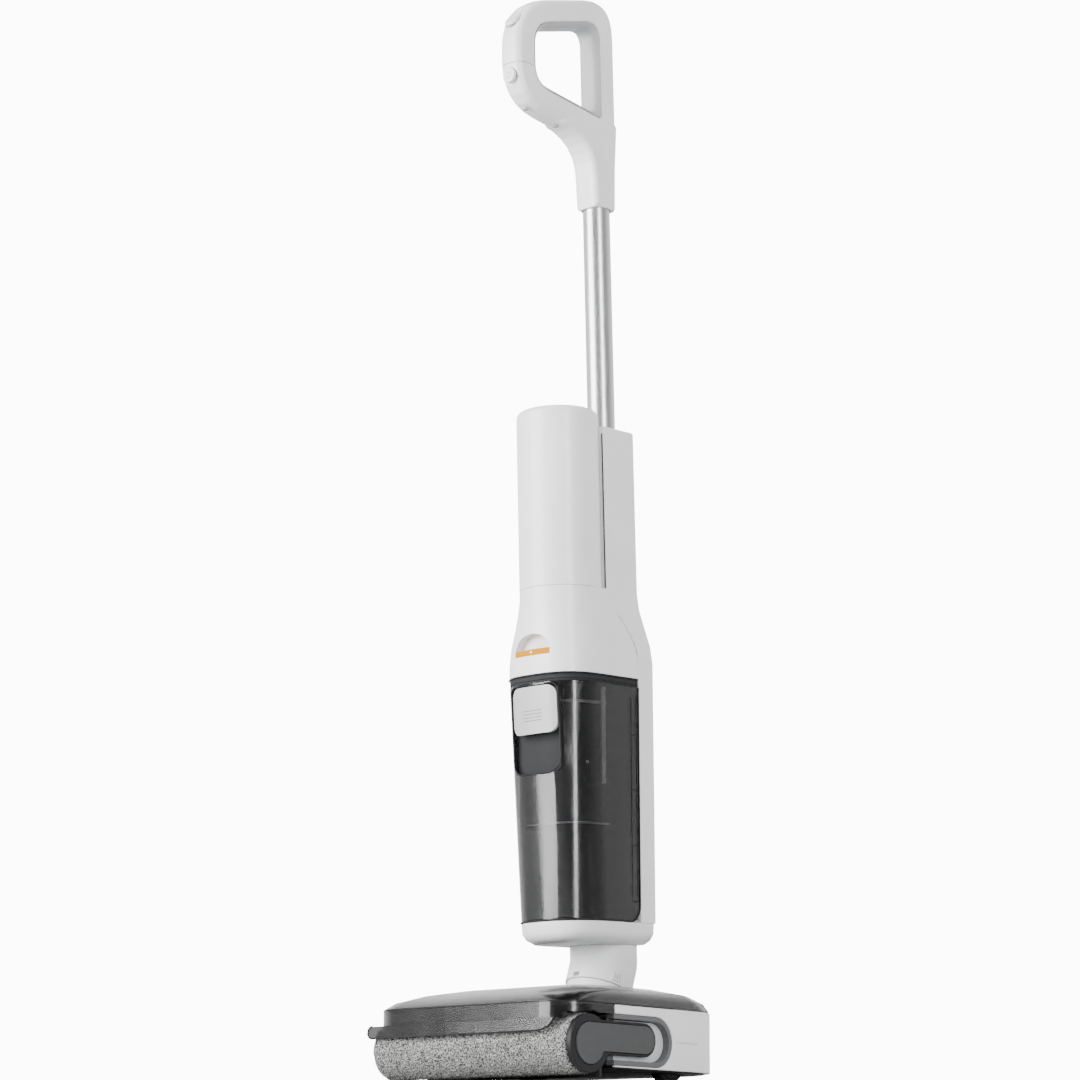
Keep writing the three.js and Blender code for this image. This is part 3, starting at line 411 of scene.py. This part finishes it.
def show_cad_shapes():
    finishes = {
        "side_panel_right": (WHITE, 1.6),
        "side_panel_left": (WHITE, 1.6),
        "recess_liner": (RECESS_GREY, 0.5),
        "base_plate": (BLACK, 0.5),
        "deck_plate": (MID_GREY, 0.3),
        "suction_duct": (MID_GREY, 0.4),
        "roller_bracket": (WHITE, 0.5),
        "wheel_gearbox": (BLACK, 0.6),
        "neck_bracket": (MID_GREY, 0.6),
        "head_cover": (COVER_SMOKE, 0.8),
        "roller_end_cap": (BLACK, 0.6),
        "roller_lever": (MID_GREY, 0.6),
        "neck_elbow": (WHITE_MATT, 0.8),
        "base_cup": (WHITE, 1.5),
        "rear_spine": (WHITE, 1.2),
        "pole_button": (LIGHT_GREY, 0.4),
        "spine_liner": (LINER_PALE, 0.3),
        "shoulder_shell": (WHITE, 0.5),
        "tank_release_button": (ORANGE, 0.5),
        "dirty_tank_shell": (SMOKE, 0.5),
        "tank_lid": (SMOKE_BLACK, 0.6),
        "tank_gasket": (SMOKE_BLACK, 0.2),
        "strainer_basket": (BASKET_SMOKE, 0.3),
        "tank_latch": (PADDLE_GREY, 0.7),
        "clean_tank_shell": (WHITE, 0.3),
        "fill_plug": (RUBBER, 0.4),
        "tank_valve": (LIGHT_GREY, 0.2),
        "pole_tube": (ALUMINIUM, 0.3),
        "handle_insert": (LINER_GREY, 0.3),
        "power_button": (WHITE, 0.5),
        "mode_button": (WHITE, 0.4),
        "wheel_hub_left": (MID_GREY, 0.5),
        "wheel_hub_right": (MID_GREY, 0.5),
    }
    for node, (material, round_mm) in finishes.items():
        refined(node, material, round_mm)
    darken_barrel(refined("neck_yoke", WHITE_MATT, 0.8))


BARREL_TOP = 76 * MM


def darken_barrel(yoke):
    """Gives the neck's hinge barrel, the low part of the yoke, the dark finish."""
    yoke.data.materials.append(MID_GREY)
    for face in yoke.data.polygons:
        if face.center.z < BARREL_TOP:
            face.material_index = 1


def dress_inner_nodes():
    materials = {
        "roller_scraper": BLACK,
        "rear_squeegee": RUBBER,
        "water_spreader": MID_GREY,
        "roller_motor": STEEL,
        "drive_hub": MID_GREY,
        "pivot_pin": STEEL,
        "roller_core": LIGHT_GREY,
        "roller_bearing": STEEL,
        "suction_motor": STEEL,
        "suction_fan": ALUMINIUM,
        "motor_filter": FOAM,
        "battery_pack": BATTERY_BLUE,
        "control_board": BOARD,
        "water_pump": COPPER,
        "float_pin": WHITE,
        "handle_screw_1": LINER_GREY,
        "handle_screw_2": LINER_GREY,
    }
    for node, material in materials.items():
        dress(node, material)


# ---------------------------------------------------------------- the body's outline

BODY_FOOT = 157
BODY_BROAD = 400
TANK_REAR = 173.5
TANK_FOOT = 157.3
TANK_TOP = 391
LID_TOP = 399.7


def body_front(z):
    """Half-width, nose and depth of the body's front beside the dirty tank."""
    t = min(max((z - BODY_FOOT) / (BODY_BROAD - BODY_FOOT), 0), 1)
    return 46 + 5 * t, 77 - 7.5 * t, 60


def front_y(x, z, inset=0.0):
    half, nose, depth = body_front(z)
    across = min(abs(x) / (half - inset), 1)
    return nose + depth - (depth - inset) * (1 - across**3) ** (1 / 3)


def section_path(z, inset, rear, steps=40):
    """The body's front outline at a height, from the right rear round the nose to the left rear."""
    half, nose, depth = body_front(z)
    width = half - inset
    path = [Vector((width, y, z)) for y in (rear, (rear + nose + depth) / 2)]
    for i in range(steps + 1):
        turn = math.pi * i / steps
        x = width * math.copysign(abs(math.cos(turn)) ** (2 / 3), math.cos(turn))
        path.append(Vector((x, nose + depth - (depth - inset) * math.sin(turn) ** (2 / 3), z)))
    path += [Vector((-width, y, z)) for y in ((rear + nose + depth) / 2, rear)]
    return path


def arc(centre, radius, start, end, steps):
    """Points in the (y, z) plane on a circle, as (y, z) pairs."""
    turns = [start + (end - start) * i / steps for i in range(steps + 1)]
    return [(centre[0] + radius * math.cos(t), centre[1] + radius * math.sin(t)) for t in turns]


# ---------------------------------------------------------------- dirty-water tank


TANK_CORNER = 16
RAILS_Y = (162, 170)
RAILS_FOOT = 182
RAILS_TOP = 388
RUNG_FOOT = 178
RUNG_PITCH = 55


def tank_outline():
    """The dark edge round the tank: down the rear of one side, along the bottom and up the other."""
    centre = (TANK_REAR - TANK_CORNER, TANK_FOOT + TANK_CORNER)
    down = [(TANK_REAR - 0.3, z) for z in range(int(TANK_TOP), int(TANK_FOOT) + TANK_CORNER, -12)]
    turn = arc(centre, TANK_CORNER - 0.3, 0, -math.pi / 2, 8)
    right = [Vector((body_front(z)[0] + 0.1, y, z)) for y, z in down + turn]
    bottom = section_path(TANK_FOOT + 0.8, -0.1, 150)
    left = [Vector((-p.x, p.y, p.z)) for p in reversed(right)]
    tank_line("tank_edge", right + bottom + left, 0.9)
    rim = section_path(LID_TOP - 0.9, -0.1, TANK_REAR - 1)
    tank_line("tank_rim", rim, 0.75)


def wall_point(sign, y, z):
    """A point just outside the tank's side wall."""
    return Vector((sign * (body_front(z)[0] + 0.05), y, z))


def tank_rails():
    """Two upright dark ribs with rungs between them, on each side wall near the rear."""
    first, second = RAILS_Y
    for side_name, sign in (("right", 1), ("left", -1)):
        for number, y in enumerate(RAILS_Y):
            path = [wall_point(sign, y, z) for z in range(RAILS_FOOT, RAILS_TOP, 20)]
            tank_line(f"tank_rail_{side_name}_{number + 1}", path, 0.45)
        for number in range(4):
            z = RUNG_FOOT + RUNG_PITCH * number
            path = [wall_point(sign, y, z) for y in (first, (first + second) / 2, second)]
            tank_line(f"tank_rung_{side_name}_{number + 1}", path, 0.6)


GRIP_HALF = 30.5
GRIP_FOOT = 302
GRIP_TOP = 389
GRIP_LINING = (83.0, 83.9)  # front and back of the lining at the back of the grip well


def rounded_plan(half, foot, top, foot_radius, top_radius, steps=8):
    """An upright rounded rectangle as (x, z) pairs, with its own radius at the foot and at the top."""
    plan = []
    corners = ((1, 1, top_radius), (-1, 1, top_radius), (-1, -1, foot_radius), (1, -1, foot_radius))
    for number, (right, up, radius) in enumerate(corners):
        x = right * (half - radius)
        z = top - radius if up > 0 else foot + radius
        for i in range(steps + 1):
            turn = math.pi / 2 * (number + i / steps)
            plan.append((x + radius * math.cos(turn), z + radius * math.sin(turn)))
    return plan


def grip_outline():
    """The dark rim round the grip well, and the dark lining at its back."""
    plan = rounded_plan(GRIP_HALF + 0.6, GRIP_FOOT - 0.6, GRIP_TOP + 0.4, 15, 8)
    path = [Vector((x, front_y(x, z, -0.1), z)) for x, z in plan]
    tank_line("grip_rim", path, 0.95, closed=True)
    lining = rounded_plan(GRIP_HALF - 0.3, GRIP_FOOT + 0.3, GRIP_TOP - 0.3, 8, 8)
    front, back = ([(x, y, z) for x, z in lining] for y in GRIP_LINING)
    plate_piece("grip_lining", front, back, SMOKE_BLACK, "dirty_tank", UPRIGHT)


PADDLE_TOP_LINE = 364
PADDLE_PITCH = 3.3
PADDLE_HALF_LINE = 12


def paddle_lines():
    for number in range(4):
        z = PADDLE_TOP_LINE - PADDLE_PITCH * number
        across = range(-PADDLE_HALF_LINE, PADDLE_HALF_LINE + 1, 2)
        path = [Vector((x, front_y(x, z, 0.12), z)) for x in across]
        name = f"paddle_line_{number + 1}"
        line_piece(name, path, 0.32, SEAM, "tank_latch", "grey_plastic", UPRIGHT)


BASKET_REAR = 128
BASKET_BAND_Z = 372
BASKET_FOOT_Z = 252.4


def basket_line(name, path, radius):
    line_piece(name, path, radius, WHITE, "dirty_tank", "grey_plastic", UPRIGHT)


def basket_ribs():
    """The pale band, foot ring and side ribs of the strainer basket."""
    basket_line("basket_band", section_path(BASKET_BAND_Z, 7.2, BASKET_REAR), 1.6)
    basket_line("basket_foot", section_path(BASKET_FOOT_Z, 6.6, BASKET_REAR), 0.9)
    for name, sign in (("right", 1), ("left", -1)):
        heights = range(292, 389, 12)
        path = [Vector((sign * (body_front(z)[0] - 6.2), BASKET_REAR - 2, z)) for z in heights]
        basket_line(f"basket_rib_{name}", path, 2.3)


SENSOR_X = 38
SENSOR_Y = 108
SENSOR_Z = 312


def level_sensor():
    """The small round level sensor with its bracket, behind the right side of the front wall."""
    tank_line("sensor_stem", [(SENSOR_X, SENSOR_Y, SENSOR_Z + up) for up in (-20, -12, 18)], 1.0)
    pin = [(SENSOR_X + out, SENSOR_Y - 1 - out, SENSOR_Z) for out in (0, 1.4, 2.6)]
    line_piece("sensor_pin", pin, 1.6, WHITE, "dirty_tank", "white_plastic", UPRIGHT, sides=16)


# ---------------------------------------------------------------- shoulder, handle and neck details


LAMP_FACE = 70.4
LAMP_Z = 422.3


def release_lamp():
    path = [(0, LAMP_FACE + 1, LAMP_Z), (0, LAMP_FACE, LAMP_Z)]
    body = "tank_release_button"
    line_piece("release_lamp", path, 1.0, LAMP, body, "orange_plastic", UPRIGHT, sides=14)


def smooth_step(z, low, high):
    t = min(max((z - low) / (high - low), 0), 1)
    return t * t * (3 - 2 * t)


def between(start, end, share):
    return start + (end - start) * share


# where the shoulder shell ends against the spine, from the foot of the seam to its top
SEAM_Z = (424, 486)
SEAM_Y = (174.6, 148)
BODY_HALF = 51
SHOULDER_TOP_HALF = 41.7
SHOULDER_NARROWS = (408, 484)
SPINE_TOP_HALF = 34
SPINE_NARROWS = (418, 492)
SLIT_HALF = 33.0
SLIT_Y = 147.7
SLIT_TOP = 658


def spine_seams():
    """The dark gaps where the spine meets the shoulder and the clean tank."""
    steps = 24
    for name, sign in (("right", 1), ("left", -1)):
        path = []
        for i in range(steps + 1):
            z = between(*SEAM_Z, i / steps)
            y = between(*SEAM_Y, smooth_step(z, *SEAM_Z))
            shoulder_half = between(BODY_HALF, SHOULDER_TOP_HALF, smooth_step(z, *SHOULDER_NARROWS))
            spine_half = between(BODY_HALF, SPINE_TOP_HALF, smooth_step(z, *SPINE_NARROWS))
            path.append((sign * min(shoulder_half, spine_half + 3), y - 0.15, z))
        body_line(f"shoulder_seam_{name}", path, 0.3, SEAM, "white_plastic")
        slit = [(sign * SLIT_HALF, SLIT_Y, z) for z in range(SPINE_NARROWS[1], SLIT_TOP, 8)]
        body_line(f"spine_slit_{name}", slit, 0.7, DARK_SEAM, "black_plastic")


SPINE_BACK = 203.4
EXHAUST_TOP = 560
EXHAUST_PITCH = 7
EXHAUST_HALF = 16
CONTACT_X = 20
CONTACT_Z = 175
SCREWS_Z = (230, 380)


def spine_back():
    """Exhaust slots, two screws and two charging contacts on the back of the body."""
    for number in range(6):
        z = EXHAUST_TOP - EXHAUST_PITCH * number
        path = [(x, SPINE_BACK + 0.05, z) for x in range(-EXHAUST_HALF, EXHAUST_HALF + 1, 4)]
        body_line(f"exhaust_slot_{number + 1}", path, 0.9, DARK_SEAM, "black_plastic")
    for name, x in (("left", -CONTACT_X), ("right", CONTACT_X)):
        contact = [(x, SPINE_BACK + out, CONTACT_Z) for out in (0.5, 1.1, 1.6)]
        body_line(f"charge_contact_{name}", contact, 4.0, STEEL, "steel", sides=24)
    for number, z in enumerate(SCREWS_Z):
        screw = [(0, SPINE_BACK + out, z) for out in (0.2, 0.9, 1.35)]
        body_line(f"spine_screw_{number + 1}", screw, 2.6, MID_GREY, "grey_plastic", sides=20)


BAR_HALF_X = 14.6
BAR_HALF = 15.4
BAR_Y = 68.7
POWER_Z = 1020
BUTTON_FACE = BAR_Y - BAR_HALF - 0.4


def ring_path(centre, radius, start, end, steps):
    """Points on an upright ring that faces the front, between two turns in degrees from its top."""
    path = []
    for i in range(steps + 1):
        turn = math.radians(start + (end - start) * i / steps)
        x = centre[0] + radius * math.sin(turn)
        path.append((x, centre[1], centre[2] + radius * math.cos(turn)))
    return path


def power_icon():
    """A ring that is open at the top, with a short upright stroke in the gap."""
    centre = (0, BUTTON_FACE + 0.1, POWER_Z)
    ring = ring_path(centre, 3.0, 38, 322, 24)
    stroke = [(0, centre[1], POWER_Z + up) for up in (1.0, 2.4, 3.8)]
    for name, path in (("power_ring", ring), ("power_stroke", stroke)):
        line_piece(name, path, 0.3, SEAM, "power_button", "white_plastic", UPRIGHT)


BAR_CORNER = 9
JOINT_Z = 1033


def bar_seam():
    """The joint between the handle's two halves, round the outside of the front bar."""
    right = BAR_HALF_X + 0.05
    front = BAR_Y - BAR_HALF - 0.05
    path = [(right, BAR_Y + 8, JOINT_Z)]
    steps = 6
    for i in range(steps + 1):
        turn = math.pi / 2 * i / steps
        x = right - BAR_CORNER + BAR_CORNER * math.cos(turn)
        path.append((x, front + BAR_CORNER - BAR_CORNER * math.sin(turn), JOINT_Z))
    path += [(-x, y, z) for x, y, z in reversed(path)]
    line_piece("handle_joint", path, 0.22, SEAM, "handle_pole", "white_plastic", UPRIGHT)


# ---------------------------------------------------------------- floor head details

COVER_HALF = 130
COVER_NOSE = -32
COVER_CORNER = 36


def cover_edge(z, grow, rear):
    """The cover's plan outline from the right rear round the front to the left rear."""
    half = COVER_HALF + grow
    nose = COVER_NOSE - grow
    radius = COVER_CORNER + grow
    path = [Vector((half, rear, z)), Vector((half, (rear + nose + radius) / 2, z))]
    for sign, first in ((1, 0), (-1, 90)):
        for i in range(13):
            turn = math.radians(first + 90 * i / 12)
            x = sign * (half - radius) + radius * math.cos(turn)
            y = nose + radius - radius * math.sin(turn)
            path.append(Vector((x, y, z)))
    path += [Vector((-half, (rear + nose + radius) / 2, z)), Vector((-half, rear, z))]
    return path


def cover_lines():
    """The dark line along the cover's ledge, and the groove above the front strip."""
    ledge = cover_edge(67.4, -0.35, 118)
    line_piece("cover_ledge", ledge, 0.7, BLACK, "head_cover", "black_plastic", LEVEL)
    groove = cover_edge(64.6, -0.5, 30)
    line_piece("cover_groove", groove, 0.35, DARK_SEAM, "head_cover", "black_plastic", LEVEL)


LIP_LOW = 41
LIP_HIGH = 52.4
LIP_FACE = -32.0
LIP_BACK = -30.2
LIP_SWEEP = ((88, 0), (97, 0.7), (104, 2.8), (109.5, 6.4))  # x, and height above the lower edge


def lip():
    """The clear strip under the cover's front, with a dark edge that sweeps up round the roller's cap."""
    radius = (LIP_HIGH - LIP_LOW) / 2
    outline = arc((radius - COVER_HALF, LIP_LOW + radius), radius, math.pi / 2, 3 * math.pi / 2, 12)
    outline += [(x, LIP_LOW + up) for x, up in LIP_SWEEP]
    outline.append((113, LIP_HIGH))
    front, back, edge = ([(x, y, z) for x, z in outline] for y in (LIP_FACE, LIP_BACK, LIP_FACE - 0.1))
    strip = plate_piece("lip_strip", front, back, LIP_SMOKE, "head_cover", LEVEL)
    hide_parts("cover_lip")
    line_piece("lip_edge", edge, 0.85, BLACK, "head_cover", "black_plastic", LEVEL)


RECESS_RADIUS = 18.4
RECESS_FRONT = 40
RECESS_REAR = 112
RECESS_Z = 34.8
RECESS_FLOOR = 121.8


def recess_bed():
    """The light floor of the recess that the roller's lever lies in."""
    outline = [(RECESS_FRONT, RECESS_Z - RECESS_RADIUS)]
    centre = (RECESS_REAR - RECESS_RADIUS, RECESS_Z)
    outline += arc(centre, RECESS_RADIUS, -math.pi / 2, math.pi / 2, 16)
    outline.append((RECESS_FRONT, RECESS_Z + RECESS_RADIUS))
    inner, outer = ([(x, y, z) for y, z in outline] for x in (RECESS_FLOOR, RECESS_FLOOR + 0.5))
    plate_piece("recess_bed", inner, outer, LIGHT_GREY, "floor_head", LEVEL)


NECK_RADIUS = 33.5
NECK_BEND = (169.5 - PIVOT_Y, 119 - PIVOT_Z)
NECK_TILT = math.atan2(*NECK_BEND)
CATCH_SPAN = (55, 64)  # millimetres along the neck from the pivot
CATCH_TURNS = (62, 80)  # degrees round the neck from its front
NOTCH_SPAN = (53.5, 57.5)
NOTCH_TURNS = (-9, 3)


def on_neck(along, turn, out):
    """A point on the slanting neck: along it from the pivot, round it from the front, and out of it."""
    angle = math.radians(turn)
    reach = NECK_RADIUS + out
    y = -reach * math.cos(angle)
    x = reach * math.sin(angle)
    return Vector((
        x,
        PIVOT_Y + y * math.cos(NECK_TILT) + along * math.sin(NECK_TILT),
        PIVOT_Z - y * math.sin(NECK_TILT) + along * math.cos(NECK_TILT),
    ))


def neck_patch(name, span, turns, outs, material):
    """A small raised plate on the neck, between two places along it and two turns round it."""
    steps = 6
    points = []
    for out in outs:
        for along in span:
            for i in range(steps + 1):
                points.append(on_neck(along, turns[0] + (turns[1] - turns[0]) * i / steps, out))
    row = steps + 1
    faces = []
    for i in range(steps):
        for a, b in ((0, row), (row, 3 * row), (3 * row, 2 * row), (2 * row, 0)):
            faces.append((a + i, a + i + 1, b + i + 1, b + i))
    faces.append((0, row, 3 * row, 2 * row))
    faces.append((steps, row + steps, 3 * row + steps, 2 * row + steps))
    new_piece(name, points, faces, material, "neck", UPRIGHT)


def neck_marks():
    """The release notch in front, drawn as a flush grey patch of painted shade, and the small ribbed catch at each
    side, at the foot of the neck.
    """
    # painted shade: a flush grey patch stands in for the shaded inside of the release notch
    neck_patch("neck_notch_shade", NOTCH_SPAN, NOTCH_TURNS, (-0.5, 0.25), SEAM)
    for name, sign in (("right", 1), ("left", -1)):
        turns = [sign * turn for turn in CATCH_TURNS]
        neck_patch(f"neck_catch_{name}", CATCH_SPAN, turns, (-0.5, 0.9), WHITE_MATT)
        for number, turn in enumerate((66, 71, 76)):
            path = [on_neck(along, sign * turn, 1.0) for along in (56.5, 59.5, 62.5)]
            line_piece(f"neck_rib_{name}_{number + 1}", path, 0.25, SEAM, "neck", "grey_plastic", UPRIGHT)


SIDE_SEAM_Z = 36
SIDE_SEAM_REAR = 156


def side_seams():
    """The joint line along each side panel, which starts behind the recess on the right."""
    for name, sign, front in (("right", 1, 122), ("left", -1, 36)):
        path = [(sign * COVER_HALF, y, SIDE_SEAM_Z) for y in range(front, SIDE_SEAM_REAR, 4)]
        line_piece(f"side_seam_{name}", path, 0.22, SEAM, "floor_head", "white_plastic", LEVEL)


def about(centre, x, radius, turn):
    """A point round the axle of the roller or of a wheel, in metres."""
    return (x, centre.y + radius * math.cos(turn), centre.z + radius * math.sin(turn))


PILE_BORE = 21.4
PILE_INNER = 27.6
PILE_TIP = 29.75
PILE_END = 0.6
PILE_ROWS = 130
PILE_AROUND = 110
TUFTS = 15000


def pile_sleeve(low, high, centre):
    """The uneven backing of the pile, with its bore and its ends, as points and faces."""
    first_x = low.x + PILE_END * MM
    last_x = high.x - PILE_END * MM
    turns = [2 * math.pi * k / PILE_AROUND for k in range(PILE_AROUND)]
    points = []
    for i in range(PILE_ROWS + 1):
        x = between(first_x, last_x, i / PILE_ROWS)
        for turn in turns:
            swell = noise.noise(Vector((x * 260, math.cos(turn) * 7, math.sin(turn) * 7)))
            points.append(about(centre, x, (PILE_INNER + 0.9 * swell) * MM, turn))
    last = PILE_ROWS * PILE_AROUND
    bore = len(points)
    far_bore = bore + PILE_AROUND
    for x in (first_x, last_x):
        points += [about(centre, x, PILE_BORE * MM, turn) for turn in turns]
    faces = []
    for k in range(PILE_AROUND):
        n = (k + 1) % PILE_AROUND
        for row in range(0, last, PILE_AROUND):
            faces.append((row + k, row + n, row + n + PILE_AROUND, row + k + PILE_AROUND))
        faces.append((k, n, bore + n, bore + k))
        faces.append((last + k, last + n, far_bore + n, far_bore + k))
        faces.append((bore + k, bore + n, far_bore + n, far_bore + k))
    return points, faces


def pile_tuft(low, high, centre, chance):
    """The three root points and the tip of one leaning tapered tuft."""
    x = chance.uniform(low.x + 0.001, high.x - 0.001)
    turn = chance.uniform(0, 2 * math.pi)
    lean = chance.uniform(-0.9, 0.9)
    sweep = chance.gauss(0.05, 0.06)
    root = (PILE_INNER - 1.2) * MM
    tip = chance.uniform(PILE_TIP - 1.5, PILE_TIP) * MM
    width = chance.uniform(0.28, 0.55) * MM
    points = []
    for corner in range(3):
        spin = 2 * math.pi * corner / 3
        root_turn = turn + width * math.cos(spin) / root
        points.append(about(centre, x + width * math.sin(spin), root, root_turn))
    tip_x = min(max(x + lean * 2 * MM, low.x), high.x)
    return points + [about(centre, tip_x, tip, turn + sweep)]


def roller_pile():
    """A sleeve of short pile: an uneven backing with thousands of leaning tapered tufts on it."""
    low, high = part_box("roller_fur")
    centre = (low + high) / 2
    points, faces = pile_sleeve(low, high, centre)
    chance = random.Random(7)
    for _ in range(TUFTS):
        a = len(points)
        points += pile_tuft(low, high, centre, chance)
        faces += [(a, a + 1, a + 3), (a + 1, a + 2, a + 3), (a + 2, a, a + 3), (a, a + 2, a + 1)]
    piece = new_piece("roller_pile", points, faces, PILE, "roller", Matrix.Identity(4), 180)
    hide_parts("roller_fur")


TYRE_BORE = 17.2
TREAD_DEPTH = 0.9
TREAD_STEPS = 96


def tread_profile(outer):
    """Half of the tread's section, mirrored: (share of the width, radius) from the bore over the top."""
    half = [(0.0, TYRE_BORE * MM), (0.0, outer * 0.93), (0.1, outer * 0.985)]
    half += [(0.2, outer), (0.44, outer), (0.47, outer - TREAD_DEPTH * MM)]
    return half + [(1 - share, radius) for share, radius in reversed(half)]


def tyres():
    """A soft tread: two rows of staggered blocks round each wheel."""
    for side_name in ("left", "right"):
        node = f"wheel_tyre_{side_name}"
        low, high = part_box(node)
        centre = (low + high) / 2
        outer = (high.z - low.z) / 2
        width = high.x - low.x
        profile = tread_profile(outer)
        count = len(profile)
        points = []
        for k in range(TREAD_STEPS):
            turn = 2 * math.pi * k / TREAD_STEPS
            for index, (share, radius) in enumerate(profile):
                raised = radius > outer * 0.99
                stagger = 2 if index >= count / 2 else 0
                groove = TREAD_DEPTH * MM if raised and (k + stagger) % 4 == 0 else 0
                points.append(about(centre, low.x + share * width, radius - groove, turn))
        faces = []
        for k in range(TREAD_STEPS):
            here = k * count
            following = (k + 1) % TREAD_STEPS * count
            for i in range(count):
                n = (i + 1) % count
                faces.append((here + i, here + n, following + n, following + i))
        name = f"tread_{side_name}"
        body = f"wheel_{side_name}"
        piece = new_piece(name, points, faces, RUBBER, body, Matrix.Identity(4))
        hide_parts(node)


# ---------------------------------------------------------------- camera, floor and light


CAMERA_AZIMUTH = 42.4
CAMERA_PITCH = 13.1
CAMERA_ROLL = 0.46
CAMERA_PLACE = (1.9417, PIVOT.y - 0.142 - 2.0589, -0.1347)


def set_camera():
    """A long lens just below the floor's level that looks up at the machine from its right front."""
    azimuth = math.radians(CAMERA_AZIMUTH)
    pitch = math.radians(CAMERA_PITCH)
    roll = math.radians(CAMERA_ROLL)
    level = math.cos(pitch)
    forward = Vector((-math.sin(azimuth) * level, math.cos(azimuth) * level, math.sin(pitch)))
    right = Vector((math.cos(azimuth), math.sin(azimuth), 0))
    up = right.cross(forward)
    rolled_right = math.cos(roll) * right + math.sin(roll) * up
    rolled_up = math.cos(roll) * up - math.sin(roll) * right
    data = bpy.data.cameras.new("camera")
    data.lens = 98.33
    data.sensor_width = 36
    data.clip_start = 0.05
    data.clip_end = 30
    camera = bpy.data.objects.new("camera", data)
    bpy.context.scene.collection.objects.link(camera)
    turn = Matrix((rolled_right, rolled_up, -forward)).transposed().to_4x4()
    camera.matrix_world = Matrix.Translation(CAMERA_PLACE) @ turn
    bpy.context.scene.camera = camera
    return forward


FLOOR_HALF = 4.0
FLOOR_DROP = 0.0005


def make_floor():
    """A pale floor that is seen only from above, because the camera looks up from just below it."""
    material = bpy.data.materials.new("studio_floor")
    material.use_nodes = True
    tree = material.node_tree
    bsdf = tree.nodes["Principled BSDF"]
    bsdf.inputs["Base Color"].default_value = (0.45, 0.45, 0.45, 1)
    bsdf.inputs["Roughness"].default_value = 0.9
    clear = tree.nodes.new("ShaderNodeBsdfTransparent")
    mix = tree.nodes.new("ShaderNodeMixShader")
    facing = tree.nodes.new("ShaderNodeNewGeometry")
    output = tree.nodes["Material Output"]
    tree.links.new(facing.outputs["Backfacing"], mix.inputs["Fac"])
    tree.links.new(bsdf.outputs["BSDF"], mix.inputs[1])
    tree.links.new(clear.outputs["BSDF"], mix.inputs[2])
    tree.links.new(mix.outputs["Shader"], output.inputs["Surface"])
    mesh = bpy.data.meshes.new("floor")
    signs = ((-1, -1), (1, -1), (1, 1), (-1, 1))
    corners = [(FLOOR_HALF * x, FLOOR_HALF * y, -FLOOR_DROP) for x, y in signs]
    mesh.from_pydata(corners, [], [(0, 1, 2, 3)])
    mesh.materials.append(material)
    floor = bpy.data.objects.new("floor", mesh)
    bpy.context.scene.collection.objects.link(floor)


def smooth_range(tree, value, place, result):
    """Runs smoothly from one result to the other as a value crosses a range."""
    made = tree.nodes.new("ShaderNodeMapRange")
    made.interpolation_type = "SMOOTHSTEP"
    for socket, number in zip(("From Min", "From Max", "To Min", "To Max"), (*place, *result)):
        made.inputs[socket].default_value = number
    tree.links.new(value, made.inputs["Value"])
    return made.outputs["Result"]


def joined(tree, operation, first, second):
    made = tree.nodes.new("ShaderNodeMath")
    made.operation = operation
    tree.links.new(first, made.inputs[0])
    tree.links.new(second, made.inputs[1])
    return made.outputs["Value"]


def set_world(forward):
    """Pale behind the machine and dim on the camera's side, so that clear plastic reads dark and glossy.
    The brightest part is straight behind the machine, and lights nothing: it is only seen directly."""
    world = bpy.data.worlds.new("studio")
    bpy.context.scene.world = world
    world.use_nodes = True
    tree = world.node_tree
    direction = tree.nodes.new("ShaderNodeTexCoord").outputs["Generated"]
    height = tree.nodes.new("ShaderNodeSeparateXYZ")
    tree.links.new(direction, height.inputs["Vector"])
    dot = tree.nodes.new("ShaderNodeVectorMath")
    dot.operation = "DOT_PRODUCT"
    dot.inputs[1].default_value = forward
    tree.links.new(direction, dot.inputs[0])
    ahead = dot.outputs["Value"]
    around = smooth_range(tree, ahead, (-0.5, 0.7), (0.4, 1.9))
    overhead = smooth_range(tree, height.outputs["Z"], (0.4, 0.75), (1.0, 0.3))
    behind = smooth_range(tree, ahead, (0.9, 0.975), (1.4, 10.0))
    seen = tree.nodes.new("ShaderNodeLightPath").outputs["Is Camera Ray"]
    surround = joined(tree, "MULTIPLY", around, overhead)
    backdrop = joined(tree, "MULTIPLY", behind, seen)
    background = tree.nodes["Background"]
    tree.links.new(joined(tree, "ADD", surround, backdrop), background.inputs["Color"])
    background.inputs["Strength"].default_value = 1.0


def area_light(name, place, target, size, power):
    data = bpy.data.lights.new(name, "AREA")
    data.shape = "RECTANGLE"
    data.size = size[0]
    data.size_y = size[1]
    data.energy = power
    light = bpy.data.objects.new(name, data)
    bpy.context.scene.collection.objects.link(light)
    light.location = place
    light.rotation_euler = (Vector(target) - Vector(place)).to_track_quat("-Z", "Y").to_euler()


def set_lights():
    area_light("key_softbox", (-1.05, -2.85, 1.3), (0, 0, 1.15), (2.1, 2.6), 300)
    area_light("strip_softbox", (2.2, -0.9, 0.95), (0, 0, 0.6), (0.5, 1.8), 55)
    area_light("top_softbox", (0.3, 0.2, 2.8), (0, 0, 0.3), (1.6, 1.6), 22)


# ---------------------------------------------------------------- make the scene

show_cad_shapes()
dress_inner_nodes()
handle = melted("handle_shell", WHITE, 0.9, 18)
cut_room(handle, "power_button", "power_press")
cut_room(handle, "mode_button", "mode_press")
tank_outline()
tank_rails()
grip_outline()
paddle_lines()
basket_ribs()
level_sensor()
release_lamp()
spine_seams()
spine_back()
neck_marks()
power_icon()
bar_seam()
cover_lines()
lip()
side_seams()
recess_bed()
roller_pile()
tyres()
forward = set_camera()
make_floor()
set_world(forward)
set_lights()
